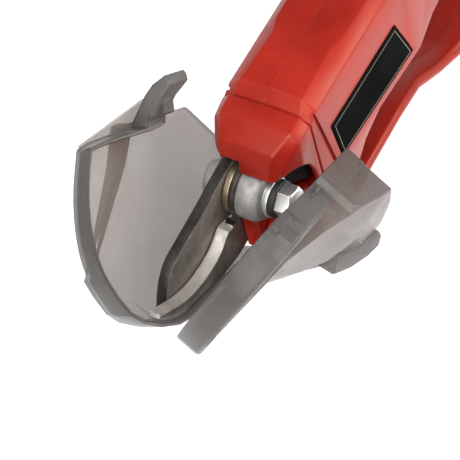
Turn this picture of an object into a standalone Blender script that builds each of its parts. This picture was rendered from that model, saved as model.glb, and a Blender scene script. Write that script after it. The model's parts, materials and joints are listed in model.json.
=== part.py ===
"""Cordless branch lopper: bypass blades in a hinged two-piece guard, motor body, grip and battery.

Lengths are written in millimetres and turned into metres by MM. Every place is measured from the
blade pivot: x runs forward to the blade tips, y to the tool's left and z up.
"""
import math

import bmesh
import bpy
from mathutils import Matrix, Vector

MM = 0.001
FLATNESS = 1e-7            # metres; a face bent by more is split into triangles
MERGE = 2e-6               # metres; points closer than this become one

# Driving dimensions
PIVOT_X = 262.0            # blade pivot ahead of the middle of the battery base
PIVOT_Z = 75.0             # blade pivot above the floor
GAP = 0.3                  # space kept between neighbouring pieces
WALL = 2.5                 # moulded housing wall
RIDGE = 0.9                # rise of the top from its edges to the middle plane

BLADE_PLANE = -8.0         # plane in which the two blades pass each other
CUTTER_THICKNESS = 4.8
HOOK_THICKNESS = 5.0
BLADE_CLEARANCE = 0.2      # each blade stands this far off the blade plane
HOOK_FAR = BLADE_PLANE + BLADE_CLEARANCE
HOOK_NEAR = HOOK_FAR + HOOK_THICKNESS
CUTTER_NEAR = BLADE_PLANE - BLADE_CLEARANCE
CUTTER_FAR = CUTTER_NEAR - CUTTER_THICKNESS
BLADE_OPEN = 45.0          # degrees

PINION_TEETH = 8
SECTOR_RATIO = 4
SECTOR_PITCH_RADIUS = 24.0
PINION_PITCH_RADIUS = 6.0
SECTOR_OUTER = 27.5
SECTOR_INNER = 20.0
SECTOR_FROM, SECTOR_TO = 122.0, 193.0

BOSS_RADIUS = 12.0
FAR_BOSS_RADIUS = 8.2
FOOT_DEPTH = 5.6           # y reached by the casting's foot inside the chin
BOLT_RADIUS = 4.0
HEX_FLATS = 13.0
RING_THICKNESS = 2.9       # recess for the bronze ring in the hook blade
BUSH_RADIUS = 6.4

GUARD_PLANE = 0.0          # plane in which the two guard halves meet
GUARD_WALL = 1.7
HINGE_POINT = (1.3, -35.5)
HINGE_SLOPE = 18.7         # degrees, rising to the front
HINGE_RADIUS = 2.0
HINGE_EYE_RADIUS = 4.6
EYE_END = 4.0              # front end of the fixed hinge eye, along the hinge
GUARD_LEFT_REST = 31.0     # degrees that each half stands open
GUARD_RIGHT_REST = 20.0
GUARD_EDGE = 1.8           # rounding round the flat part of each half
KNUCKLE_RADIUS = 3.8
LEFT_KNUCKLES = [(7.0, 12.0), (19.2, 25.0)]
RIGHT_KNUCKLES = [(12.6, 18.6), (25.6, 31.8)]
LEFT_FLAT = (8.8, 0.0324, 0.0172)      # depth at the hinge point, and its growth along and off the hinge
RIGHT_FLAT = (18.6, -0.0563, -0.0635)

MOTOR_RADIUS = 15.0
GEARBOX_RADIUS = 15.5
BATTERY_HALF_WIDTH = 36.0
BATTERY_FRONT, BATTERY_REAR = -214.0, -310.0
FOOT_LOW = -26.0
RAIL_HALF = 12.4
BATTERY_CORNER = 8.0
CELL_RADIUS = 9.1
CELL_LENGTH = 64.6
CELL_PITCH = 19.0
CONTACT_PLACES = (-8.0, 0.0, 8.0)

SCREW_HEAD_RADIUS = 3.2
SCREW_RADIUS = 1.6
SCREW_BOSS = 4.4
TRIGGER_PIN = (-119.0, -13.2)
TRIGGER_HALF = 5.5
LOCK_BOLT = (-122.0, 4.5)
LOCK_BOLT_RADIUS = 4.5

COLOURS = {
    "red_plastic": ((0.56, 0.035, 0.025), 0.42, 0.0),
    "black_plastic": ((0.015, 0.015, 0.016), 0.5, 0.0),
    "smoke_plastic": ((0.2, 0.19, 0.18), 0.25, 0.0),
    "cast_metal": ((0.62, 0.61, 0.59), 0.38, 0.9),
    "zinc": ((0.72, 0.71, 0.69), 0.28, 1.0),
    "blade_steel": ((0.10, 0.095, 0.09), 0.38, 0.85),
    "ground_steel": ((0.5, 0.49, 0.46), 0.35, 1.0),
    "bronze": ((0.42, 0.33, 0.22), 0.4, 0.9),
    "board_green": ((0.03, 0.16, 0.07), 0.6, 0.0),
    "copper": ((0.6, 0.3, 0.15), 0.4, 1.0),
    "cell_wrap": ((0.05, 0.12, 0.3), 0.4, 0.0),
}


def clear_scene():
    """Empty the file, so that the script gives the same model each time."""
    for item in list(bpy.data.objects):
        bpy.data.objects.remove(item, do_unlink=True)
    for mesh in list(bpy.data.meshes):
        bpy.data.meshes.remove(mesh)


def material(name):
    """Return the named material, made on first use."""
    found = bpy.data.materials.get(name)
    if found:
        return found
    colour, roughness, metallic = COLOURS[name]
    made = bpy.data.materials.new(name)
    made.use_nodes = True
    shader = made.node_tree.nodes["Principled BSDF"]
    shader.inputs["Base Color"].default_value = (*colour, 1.0)
    shader.inputs["Roughness"].default_value = roughness
    shader.inputs["Metallic"].default_value = metallic
    return made


# Shapes. Each returns a plain mesh object in pivot coordinates, in metres, not yet placed.

def bend_of(face):
    """Return how far a face's corners stand off its own plane, in metres."""
    middle = face.calc_center_median()
    return max(abs((corner.co - middle).dot(face.normal)) for corner in face.verts)


def shape_from(bm, merge=False):
    """Close a bmesh into a new object with its faces turned out."""
    if merge:
        bmesh.ops.remove_doubles(bm, verts=bm.verts, dist=1e-6)
    bmesh.ops.recalc_face_normals(bm, faces=bm.faces)
    bent = [face for face in bm.faces if bend_of(face) > FLATNESS]
    bmesh.ops.triangulate(bm, faces=bent)
    mesh = bpy.data.meshes.new("shape")
    bm.to_mesh(mesh)
    bm.free()
    made = bpy.data.objects.new("shape", mesh)
    bpy.context.scene.collection.objects.link(made)
    return made


def loft(rings, close_ends=True):
    """Skin a row of rings with equal point counts; each ring is a list of (x, y, z)."""
    bm = bmesh.new()
    loops = [[bm.verts.new(Vector(point) * MM) for point in ring] for ring in rings]
    count = len(rings[0])
    for first, second in zip(loops, loops[1:]):
        for i in range(count):
            j = (i + 1) % count
            bm.faces.new((first[i], first[j], second[j], second[i]))
    if close_ends:
        bm.faces.new(loops[0])
        bm.faces.new(loops[-1])
    else:
        for i in range(count):
            j = (i + 1) % count
            bm.faces.new((loops[-1][i], loops[-1][j], loops[0][j], loops[0][i]))
    return shape_from(bm)


def prism(outline, near, far):
    """Extrude an (x, z) outline from y = near to y = far."""
    return loft([[(x, near, z) for x, z in outline], [(x, far, z) for x, z in outline]])


def plan_prism(outline, low, high):
    """Extrude an (x, y) outline from z = low to z = high."""
    return loft([[(x, y, low) for x, y in outline], [(x, y, high) for x, y in outline]])


def block(x, y, z):
    """Make a box from three (low, high) pairs."""
    return prism([(x[0], z[0]), (x[1], z[0]), (x[1], z[1]), (x[0], z[1])], y[0], y[1])


def turned(profile, axis="y", centre=(0.0, 0.0, 0.0), steps=40, ring=False):
    """Turn (radius, height) points round an axis; ring=True joins the last point to the first."""
    rings = []
    for radius, height in profile:
        points = []
        for k in range(steps):
            angle = 2 * math.pi * k / steps
            across, up = radius * math.cos(angle), radius * math.sin(angle)
            offset = {"x": (height, across, up), "y": (across, height, up), "z": (across, up, height)}[axis]
            points.append(tuple(c + o for c, o in zip(centre, offset)))
        rings.append(points)
    return loft(rings, close_ends=not ring)


def rod(radius, start, end, axis="y", centre=(0.0, 0.0, 0.0), steps=32):
    """Make a plain cylinder along an axis."""
    return turned([(radius, start), (radius, end)], axis, centre, steps)


def tube(outer, inner, start, end, axis="y", centre=(0.0, 0.0, 0.0), steps=32):
    """Make a ring or sleeve along an axis."""
    profile = [(inner, start), (outer, start), (outer, end), (inner, end)]
    return turned(profile, axis, centre, steps, ring=True)


def arc(centre, radius, start, end, steps):
    """Return points on an arc in degrees, ends included."""
    return [(centre[0] + radius * math.cos(math.radians(start + (end - start) * k / steps)),
             centre[1] + radius * math.sin(math.radians(start + (end - start) * k / steps)))
            for k in range(steps + 1)]


def smooth_outline(points, steps=4):
    """Round an open row of points into a Catmull-Rom curve."""
    ends = [points[0], *points, points[-1]]
    curve = []
    for before, start, end, after in zip(ends, ends[1:], ends[2:], ends[3:]):
        for k in range(steps):
            t = k / steps
            curve.append(tuple(
                0.5 * (2 * b + (c - a) * t + (2 * a - 5 * b + 4 * c - d) * t * t
                       + (3 * b - a - 3 * c + d) * t ** 3)
                for a, b, c, d in zip(before, start, end, after)))
    return curve + [points[-1]]


def inset_outline(outline, amount):
    """Move every side of a closed outline inwards by amount; the outline runs anticlockwise."""
    moved = []
    count = len(outline)
    for i in range(count):
        before, here, after = (Vector(outline[(i + k) % count]) for k in (-1, 0, 1))
        first, second = (here - before).normalized(), (after - here).normalized()
        first_in, second_in = Vector((-first.y, first.x)), Vector((-second.y, second.x))
        middle = (first_in + second_in).normalized()
        moved.append(tuple(here + middle * amount / max(0.35, middle.dot(first_in))))
    return moved


# Joining, cutting and placing

def settle(target):
    """Replace an object's mesh by the one its modifiers give."""
    graph = bpy.context.evaluated_depsgraph_get()
    result = bpy.data.meshes.new_from_object(target.evaluated_get(graph))
    target.modifiers.clear()
    bm = bmesh.new()
    bm.from_mesh(result)
    bmesh.ops.remove_doubles(bm, verts=bm.verts, dist=MERGE)
    bmesh.ops.dissolve_degenerate(bm, edges=bm.edges, dist=MERGE)
    bm.to_mesh(result)
    bm.free()
    target.data = result
    return target


def combine(target, tools, operation):
    """Apply a Boolean with each tool in turn and delete the tools."""
    for tool in tools:
        step = target.modifiers.new("shape", "BOOLEAN")
        step.operation = operation
        step.object = tool
        settle(target)
        bpy.data.objects.remove(tool, do_unlink=True)
    return target


def cut(target, *tools):
    """Take the tools away from the target."""
    return combine(target, tools, "DIFFERENCE")


def join(target, *tools):
    """Add the tools to the target."""
    return combine(target, tools, "UNION")


def keep_inside(target, tool):
    """Keep what lies inside the tool."""
    return combine(target, [tool], "INTERSECT")


def copy_of(source):
    """Copy an object with its own mesh."""
    twin = source.copy()
    twin.data = source.data.copy()
    bpy.context.scene.collection.objects.link(twin)
    return twin


def soften(target, width, segments=2, angle=35.0):
    """Round the edges sharper than the angle."""
    step = target.modifiers.new("edges", "BEVEL")
    step.width = width * MM
    step.segments = segments
    step.limit_method = "ANGLE"
    step.angle_limit = math.radians(angle)
    return settle(target)


def turn_about(target, point, direction, degrees):
    """Turn a shape about a line given in millimetres."""
    centre = Matrix.Translation(Vector(point) * MM)
    spin = Matrix.Rotation(math.radians(degrees), 4, Vector(direction))
    target.data.transform(centre @ spin @ centre.inverted())
    return target


def place(shape, name, finish, origin=(0.0, 0.0, 0.0), smooth=30.0):
    """Name a finished shape, give it its material and put its origin on its joint."""
    shape.name = name
    shape.data.name = name
    shape.data.materials.clear()
    shape.data.materials.append(material(finish))
    shape.data.transform(Matrix.Translation(-Vector(origin) * MM))
    shape.data.shade_smooth()
    shape.data.set_sharp_from_angle(angle=math.radians(smooth))
    shape.parent = bpy.data.objects["tool"]
    shape.location = Vector(origin) * MM
    return shape


def place_each(shapes, name, finish):
    """Place like pieces under one name with a number."""
    for number, shape in enumerate(shapes, 1):
        place(shape, f"{name}_{number}", finish)


# Housing

def body_ring(x, half, low, side_top, top, top_half, low_corner=3.0):
    """Cross-section of the body: flat sides, a slope, a faintly ridged top, small lower corners."""
    right = [(half - low_corner, low), (half, low + low_corner), (half, side_top), (top_half, top)]
    left = [(-y, z) for y, z in reversed(right)]
    return [(x, y, z) for y, z in [*right, (0.0, top + RIDGE), *left]]


BODY_STATIONS = [
    # x, half width, low, side top, top, top half width
    (-21.0, 20.0, -20.0, 26.4, 28.6, 15.4),
    (-26.5, 20.0, -20.0, 28.8, 33.8, 14.2),
    (-52.0, 20.0, -20.0, 28.8, 33.8, 12.8),
    (-60.0, 20.0, -20.0, 28.8, 33.8, 15.2),
    (-100.0, 20.0, -22.4, 28.8, 33.8, 15.2),
    (-114.0, 18.5, -19.0, 24.0, 29.5, 13.0),
    (-130.0, 17.0, -18.5, 17.0, 24.5, 11.0),
    (-188.0, 17.0, -19.5, 16.0, 23.5, 11.0),
    (-206.0, 19.0, -23.0, 16.0, 22.5, 12.0),
    (-224.0, 29.0, FOOT_LOW, 12.0, 20.5, 19.0),
    (-240.0, 33.0, FOOT_LOW, 8.0, 18.0, 23.0),
    (-292.0, 33.0, FOOT_LOW, 0.0, 8.5, 24.0),
    (-304.0, 30.0, FOOT_LOW, -9.0, -1.0, 22.0),
]

CHIN_LEVELS = [
    # z, rear x, front x, half width
    (-9.0, -73.0, -22.5, 19.8),
    (-14.0, -72.0, -22.0, 19.6),
    (-19.5, -70.0, -21.0, 19.0),
    (-22.5, -64.0, -19.0, 18.4),
    (-26.0, -59.0, -16.5, 17.6),
    (-33.0, -55.0, -14.0, 16.2),
    (-38.0, -51.8, -13.0, 15.2),
    (-44.0, -51.6, -14.0, 14.0),
    (-50.0, -54.0, -24.0, 12.8),
    (-54.0, -58.0, -34.0, 12.2),
    (-58.0, -62.0, -46.0, 11.6),
]

STRAP_ROUTE = [
    # x, z of the middle, thickness, half width
    (-54.0, -55.4, 5.2, 11.8),
    (-88.0, -55.4, 5.2, 10.6),
    (-106.0, -57.8, 5.4, 9.6),
    (-122.0, -67.0, 5.8, 9.4),
    (-136.0, -71.9, 6.2, 10.4),
    (-192.0, -71.9, 6.2, 12.0),
    (-203.0, -67.5, 7.0, 13.0),
    (-207.5, -56.0, 8.0, 14.0),
    (-207.8, -20.0, 8.4, 15.5),
]

SCREW_PLACES = [
    # x, z, y of the head's outer face, y of the tip
    (-45.0, 24.5, -18.0, 14.0),
    (-96.0, 24.5, -18.0, 14.0),
    (-44.0, -39.0, -13.0, 11.0),
    (-176.0, -2.0, -15.0, 12.0),
    (-207.6, -42.0, -12.5, 10.0),
    (-232.0, -12.0, -27.0, 14.0),
    (-290.0, -13.0, -28.0, 14.0),
]

def strap_rings(route):
    """Rounded flat section carried along the strap's middle line."""
    rings = []
    for i, (x, z, thick, half) in enumerate(route):
        before, after = route[max(i - 1, 0)], route[min(i + 1, len(route) - 1)]
        along = Vector((after[0] - before[0], after[1] - before[1])).normalized()
        out = Vector((along.y, -along.x))
        corner = thick * 0.3
        profile = [(half - corner, -thick / 2), (half, -thick / 2 + corner), (half, thick / 2 - corner),
                   (half - corner, thick / 2)]
        profile += [(-y, t) for y, t in reversed(profile)]
        rings.append([(x + out.x * t, y, z + out.y * t) for y, t in profile])
    return rings


def chin_rings():
    """Level sections of the leg under the nose, with cut corners."""
    rings = []
    for z, rear, front, half in CHIN_LEVELS:
        corner = 3.5
        plan = [(rear, half - corner), (rear + corner, half), (front - corner, half), (front, half - corner)]
        plan += [(x, -y) for x, y in reversed(plan)]
        rings.append([(x, y, z) for x, y in plan])
    return rings


def inner_ring(station):
    """Cross-section of the hollow, one wall inside the body's own section."""
    x, half, low, side_top, top, top_half = station
    return body_ring(x, half - WALL, low + WALL, side_top - 1.2, top - WALL, top_half - 1.2, 2.0)


def housing_outside():
    """The closed outer form of body, grip, foot, chin and hand loop."""
    outside = loft([body_ring(*station) for station in BODY_STATIONS])
    chin = loft(chin_rings())
    strap = loft(strap_rings(STRAP_ROUTE))
    return join(outside, chin, strap, hinge_chin())


def hinge_chin():
    """The near-side tongue of the chin that reaches forward under the boss to the guard hinge."""
    outline = [(-24.0, -13.6), (3.0, -13.6), (6.6, -17.0), (6.6, -25.0), (4.4, -30.0), (2.2, -35.0),
               (-2.0, -41.0), (-24.0, -51.0)]
    tongue = soften(prism(list(reversed(outline)), HOOK_NEAR + GAP, 12.5), 1.6, 2)
    return join(tongue, hinge_rod(HINGE_EYE_RADIUS, -18.0, EYE_END))


def housing_hollow():
    """Everything taken out of the housing before it is parted."""
    stations = [(-19.0, *BODY_STATIONS[0][1:]), *BODY_STATIONS[1:-1], (-301.0, *BODY_STATIONS[-1][1:])]
    hollow = loft([inner_ring(station) for station in stations])
    ribs = [block((x, x + 2.2), (-25, 25), (-30, 40)) for x in (-48.0, -74.0, -100.0, -160.0, -246.0)]
    bosses = [rod(SCREW_BOSS, -40, 40, "y", (x, 0, z), 12) for x, z, _, _ in SCREW_PLACES]
    return cut(hollow, *ribs, *bosses)


def housing():
    """Two moulded halves, parted at the middle plane."""
    body = housing_outside()
    cut(body, housing_hollow())
    drive_bore = turned([(GEARBOX_RADIUS + GAP, -10.0), (GEARBOX_RADIUS + GAP, -61.0),
                         (MOTOR_RADIUS + GAP, -61.1), (MOTOR_RADIUS + GAP, -117.0)], "x")
    tail_sweep = rod(SECTOR_OUTER + 1.6, -14.6, -3.2, "y", steps=48)
    blade_side = block((-12.5, 20), (-30, HOOK_NEAR + GAP), (-28.6, 0))
    casting_pocket = block((-6.8, 9.0), (-4.0, FOOT_DEPTH + GAP), (-27.3, -10.0))
    pin_bore = hinge_rod(HINGE_RADIUS + 0.25, -16.2, 20.0)
    trigger_slot = block((-153.0, -113.0), (-6.0, 6.0), (-40.0, -10.0))
    switch_bay = block((-152.0, -118.0), (-9.3, 9.3), (-12.5, 14.5))
    bolt_hole = rod(LOCK_BOLT_RADIUS + GAP, -40, 40, "y", (LOCK_BOLT[0], 0, LOCK_BOLT[1]), 24)
    rail_slot = block((BATTERY_REAR - 5, -213.4), (-RAIL_HALF - GAP, RAIL_HALF + GAP), (-40.0, -22.0))
    rail_head = block((BATTERY_REAR - 5, -213.4), (-RAIL_HALF - 3.4, RAIL_HALF + 3.4), (-23.5, -20.0))
    label_seat = prism(inset_outline(list(reversed(label_outline())), -0.3), 18.9, 30)
    cutters = [drive_bore, tail_sweep, blade_side, casting_pocket, pin_bore, trigger_slot, switch_bay,
               bolt_hole, rail_slot, rail_head, label_seat, groove_cutter(1), groove_cutter(-1)]
    for x, z, head, tip in SCREW_PLACES:
        cutters.append(rod(SCREW_RADIUS + 0.25, head - 10, tip + 1, "y", (x, 0, z), 10))
        cutters.append(rod(SCREW_HEAD_RADIUS + 0.4, -50, head + 2.8, "y", (x, 0, z), 14))
    cut(body, *cutters)
    left = copy_of(body)
    keep_inside(left, block((-400, 100), (GAP / 2, 80), (-120, 90)))
    keep_inside(body, block((-400, 100), (-80, -GAP / 2), (-120, 90)))
    place(left, "housing_left", "red_plastic")
    place(body, "housing_right", "red_plastic")


def groove_cutter(side):
    """Shallow groove that sets the nose end off from each side face."""
    path = [(-23.2, 31.0), (-26.4, 10.0), (-29.6, -9.0), (-29.6, -24.0)]
    outline = path + [(x - 1.7, z) for x, z in reversed(path)]
    return prism(outline, side * 18.6, side * 24)


def label_outline():
    """Slanted plate on the left side face."""
    return [(-33.0, 10.6), (-35.4, -11.4), (-94.3, -14.4), (-92.6, -8.0), (-87.0, 10.6)]


def label_plate():
    """Bare plate sunk into the left side face."""
    plate = prism(list(reversed(label_outline())), 19.2, 20.6)
    place(soften(plate, 0.25, 1), "label_plate", "black_plastic")


def screws():
    """Cross-head housing screws, driven from the right side."""
    made = []
    for x, z, head, tip in SCREW_PLACES:
        profile = [(SCREW_HEAD_RADIUS - 0.5, head), (SCREW_HEAD_RADIUS, head + 0.6),
                   (SCREW_HEAD_RADIUS, head + 2.4), (SCREW_RADIUS, head + 2.5), (SCREW_RADIUS, tip)]
        screw = turned(profile, "y", (x, 0, z), 10)
        cross = [block((x - 1.9, x + 1.9), (head - 1, head + 1.3), (z - 0.45, z + 0.45)),
                 block((x - 0.45, x + 0.45), (head - 1, head + 1.3), (z - 1.9, z + 1.9))]
        made.append(cut(screw, *cross))
    place_each(made, "housing_screw", "zinc")


# Nose cover and gear casting

NOSE_STATIONS = [
    # x, half width, low, side top, top, top half width
    (-20.6, 20.0, -13.0, 27.0, 30.6, 16.2),
    (-11.7, 19.4, -13.0, 25.6, 29.6, 16.0),
    (-2.2, 15.6, -13.0, 17.4, 24.6, 12.0),
    (1.2, 13.4, -13.0, 13.4, 17.6, 11.2),
    (2.4, 12.6, -13.0, 10.6, 13.4, 11.0),
]


def nose_cover():
    """Moulded cap over the gear casting, slotted for the blades and arched over the bolt."""
    cap = loft([body_ring(*station) for station in NOSE_STATIONS])
    inner = []
    for x, half, low, side_top, top, top_half in NOSE_STATIONS:
        inner.append(body_ring(x - 2.4, half - 2.2, low - 20, side_top - 1.0, top - 2.3, top_half - 1.0, 2.0))
    cut(cap, loft(inner))
    bolt_arch = smooth_outline([(6.0, 12.9), (0.0, 12.9), (-8.0, 12.6), (-13.6, 9.4), (-16.6, 3.0),
                                (-17.6, -5.0), (-17.6, -20.0)], 3) + [(6.0, -20.0)]
    far_skirt = smooth_outline([(6.0, 18.8), (-5.8, 18.8), (-5.8, 5.2), (-7.6, 1.4), (-12.0, 0.6),
                                (-17.6, 0.6), (-17.6, -20.0)], 1) + [(6.0, -20.0)]
    blade_slot = smooth_outline([(6.0, 18.6), (-13.5, 18.6), (-13.5, -20.0)], 1) + [(6.0, -20.0)]
    cut(cap, prism(bolt_arch, HOOK_NEAR - 0.2, 30), prism(far_skirt, -30, CUTTER_FAR - 0.8),
        prism(blade_slot, CUTTER_FAR - 0.9, HOOK_NEAR),
        keep_inside(rod(SECTOR_OUTER + 0.5, -15.4, -3.0, "y", steps=48),
                    block((-40, -12.2), (-16, 0), (-30, 30))),
        rod(FAR_BOSS_RADIUS + 0.5, -30.0, -10.0, "y", steps=40))
    place(cap, "nose_cover", "red_plastic")


def gear_case():
    """Cast case: near boss, far boss, the arms that carry them, the bell and the hook's foot."""
    boss = turned([(BOSS_RADIUS - 0.8, HOOK_NEAR + GAP), (BOSS_RADIUS, HOOK_NEAR + GAP + 0.8),
                   (BOSS_RADIUS, 4.6), (BOSS_RADIUS - 1.6, 7.4), (7.4, 7.8), (7.4, 8.9)], "y", steps=36)
    near_arm = plan_prism([(-6.0, -1.6), (-14.4, -1.6), (-14.4, 4.6), (-20.6, 9.0), (-33.0, 9.0),
                           (-33.0, 12.8), (-19.0, 12.8), (-12.0, 7.2), (-6.0, 7.2)], -9.5, 9.5)
    foot = block((-6.5, 8.6), (HOOK_NEAR + GAP, FOOT_DEPTH), (-27.0, -6.0))
    far_arm = plan_prism([(0.0, -15.8), (-11.0, -15.8), (-17.0, -17.1), (-33.5, -16.4), (-33.5, -12.2),
                          (-30.4, -12.6), (-28.6, -14.2), (0.0, -14.2)], -7.4, 0.2)
    far_boss = turned([(FAR_BOSS_RADIUS, CUTTER_FAR - 0.4), (FAR_BOSS_RADIUS, -18.4),
                       (FAR_BOSS_RADIUS - 0.9, -19.3)], "y", steps=28)
    bell = turned([(17.0, -36.0), (17.0, -30.6), (12.0, -30.0)], "x", steps=32)
    join(boss, near_arm, foot, far_boss, far_arm, bell)
    cut(boss, rod(BOLT_RADIUS + 0.25, -40, 40, "y", steps=20), rod(4.6, -50, -25, "x", steps=20),
        rod(8.3, -33.2, -20, "x", steps=24), *[rod(1.9, -10, 10, "y", (x, 0, z), 10) for x, z in HOOK_SCREWS])
    place(boss, "gear_case", "cast_metal")


# Blades

HOOK_SCREWS = [(-2.4, -22.4), (5.2, -21.0)]
HOOK_INNER = [(11.5, -8.6), (18.3, -6.0), (24.0, -9.0), (30.0, -10.6), (39.0, -10.4), (48.0, -8.4),
              (57.0, -4.0), (65.4, 1.6), (71.4, 5.6)]
HOOK_OUTER = [(72.6, 3.8), (65.0, -5.5), (56.0, -12.6), (46.4, -16.6), (35.3, -20.6), (24.4, -24.2),
              (16.0, -25.6), (8.6, -25.4)]
CUTTER_SPINE = [(-6.0, 12.2), (4.0, 12.6), (16.0, 11.0), (30.0, 9.6), (44.0, 8.6), (50.0, 7.4), (55.6, 2.6),
                (59.2, -3.6), (61.0, -8.2)]
CUTTER_EDGE = [(55.6, -11.8), (47.0, -15.4), (37.0, -17.0), (27.0, -16.8), (18.0, -14.4), (10.4, -10.4)]


def edge_cutter(edge, beyond, sections):
    """Cutter carried along a blade edge; sections gives (distance off the edge, y) corners."""
    rings = []
    for (x, z), (next_x, next_z) in zip(edge, [*edge[1:], beyond]):
        along = Vector((next_x - x, next_z - z)).normalized()
        out = Vector((-along.y, along.x))
        rings.append([(x + out.x * off, y, z + out.y * off) for off, y in sections])
    return loft(rings)


def hook_blade():
    """Fixed counter-blade: hooked beak with a ground inner edge and a root screwed to the casting."""
    edge = smooth_outline(HOOK_INNER, 2)
    root = arc((0, 0), 12.4, -40, 235, 16)
    tab = [(-7.0, -14.0), (-6.4, -27.2)]
    hook = prism(edge[::-1] + root + tab + smooth_outline(HOOK_OUTER, 2)[::-1], HOOK_FAR, HOOK_NEAR)
    grind = edge_cutter(edge[1:], (74.0, 7.0), [(4.0, HOOK_FAR + 1.2), (0.0, HOOK_FAR + 1.2),
                                                (-1.6, HOOK_NEAR + 0.6), (4.0, HOOK_NEAR + 0.6)])
    cut(hook, grind, rod(14.0, HOOK_FAR - 1, HOOK_FAR + RING_THICKNESS, "y", steps=40),
        rod(BUSH_RADIUS + 0.25, -20, 20, "y"))
    for x, z in HOOK_SCREWS:
        cut(hook, turned([(3.7, HOOK_FAR - 0.5), (3.7, HOOK_FAR + 0.6), (1.95, HOOK_FAR + 2.4),
                          (1.95, HOOK_NEAR + 1)], "y", (x, 0, z), 16))
    place(hook, "hook_blade", "blade_steel")


def sector_teeth():
    """Straight bevel teeth raised on the tail of the cutting blade, tapering to the pivot."""
    step = 360.0 / (PINION_TEETH * SECTOR_RATIO)
    angle = 180.0 - step * round((180.0 - SECTOR_FROM) / step) + step / 2
    teeth = []
    while angle < SECTOR_TO - step / 2:
        along = Vector((math.cos(math.radians(angle)), 0, math.sin(math.radians(angle))))
        across = Vector((-along.z, 0, along.x))
        rings = []
        for radius in (SECTOR_INNER + 0.5, SECTOR_OUTER - 2.7):
            pitch = radius * math.radians(step)
            height = 2.9 * radius / SECTOR_PITCH_RADIUS
            low, high = CUTTER_NEAR - 0.5, CUTTER_NEAR - 0.5 + height
            root, tip = 0.248 * pitch, 0.144 * pitch
            section = [(-root, low), (root, low), (tip, high), (-tip, high)]
            rings.append([tuple(along * radius + across * t + Vector((0, y, 0))) for t, y in section])
        teeth.append(loft(rings))
        angle += step
    return teeth


def cutting_blade():
    """Moving blade: curved cutting arm, round root and a bevel-toothed tail."""
    spine = smooth_outline(CUTTER_SPINE, 2)
    edge = smooth_outline(CUTTER_EDGE, 2)
    tail = arc((0, 0), SECTOR_OUTER, SECTOR_TO, SECTOR_FROM, 14)
    neck_low = [(3.0, -13.0), (-6.0, -12.6), (-17.0, -8.6)]
    neck_high = [(-12.6, 16.0)]
    blade = prism(spine + edge + neck_low + tail + neck_high, CUTTER_FAR, CUTTER_NEAR)
    grind = edge_cutter(edge[:-1], edge[-1], [(5.0, CUTTER_FAR - 0.6), (5.0, CUTTER_NEAR - 0.5),
                                              (0.0, CUTTER_NEAR - 0.5), (-5.5, CUTTER_FAR - 0.6)])
    cut(blade, grind)
    join(blade, *sector_teeth())
    cut(blade, rod(BUSH_RADIUS + 0.25, -20, 0, "y"))
    place(blade, "cutting_blade", "blade_steel")


def pivot_pieces():
    """Spacer ring, bush, bolt with its washers and the hook's two screws."""
    place(tube(BOSS_RADIUS - 0.3, BUSH_RADIUS + 0.3, HOOK_FAR + 0.15, HOOK_FAR + RING_THICKNESS - GAP, "y",
               steps=36), "pivot_spacer", "bronze")
    place(tube(BUSH_RADIUS, BOLT_RADIUS + 0.2, CUTTER_FAR + 0.1, HOOK_NEAR - 0.1, "y", steps=24),
          "pivot_bush", "bronze")
    place(tube(8.6, BOLT_RADIUS + 0.4, 9.1, 10.8, "y", steps=28), "pivot_washer", "zinc")
    place(tube(8.0, BOLT_RADIUS + 0.4, 10.95, 13.2, "y", steps=28), "lock_washer", "black_plastic")
    corner = HEX_FLATS / math.sqrt(3)
    hexagon = arc((0, 0), corner, 15, 315, 5)
    head = prism(hexagon, 13.3, 19.8)
    dome = turned([(5.9, 22.0), (5.9, 19.9), (8.2, 18.4), (8.2, 12.0)], "y", steps=24)
    keep_inside(head, dome)
    shank = turned([(BOLT_RADIUS, 14.0), (BOLT_RADIUS, -17.6), (BOLT_RADIUS - 0.8, -18.6)], "y", steps=20)
    place(join(head, shank), "pivot_bolt", "zinc")
    made = []
    for x, z in HOOK_SCREWS:
        made.append(turned([(1.5, FOOT_DEPTH - 0.6), (1.6, HOOK_FAR + 2.6), (3.3, HOOK_FAR + 0.9),
                            (3.3, HOOK_FAR + 0.3)], "y", (x, 0, z), 14))
    place_each(made, "hook_screw", "zinc")


# Drive train

def pinion():
    """Bevel pinion on the gearbox output shaft."""
    body = turned([(3.6, -19.4), (3.9, -19.4), (5.6, -28.6), (5.6, -29.4), (3.0, -29.6), (3.0, -36.5),
                   (3.0, -60.0)], "x", steps=24)
    teeth = []
    for k in range(PINION_TEETH):
        angle = math.radians(360.0 * k / PINION_TEETH)
        rings = []
        for x in (-19.6, -28.4):
            share = -x / SECTOR_PITCH_RADIUS
            pitch = 2 * math.pi * PINION_PITCH_RADIUS * share / PINION_TEETH
            low, high = 3.6 * share, 7.1 * share
            foot, tip = pitch * 0.27, pitch * 0.13
            section = [(-foot, low), (foot, low), (tip, high), (-tip, high)]
            cosine, sine = math.cos(angle), math.sin(angle)
            rings.append([(x, t * cosine - r * sine, t * sine + r * cosine) for t, r in section])
        teeth.append(loft(rings))
    join(body, *teeth)
    place(body, "drive_pinion", "ground_steel")
    place(tube(4.3, 3.25, -35.6, -33.6, "x", steps=20), "pinion_bearing", "bronze")


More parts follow.
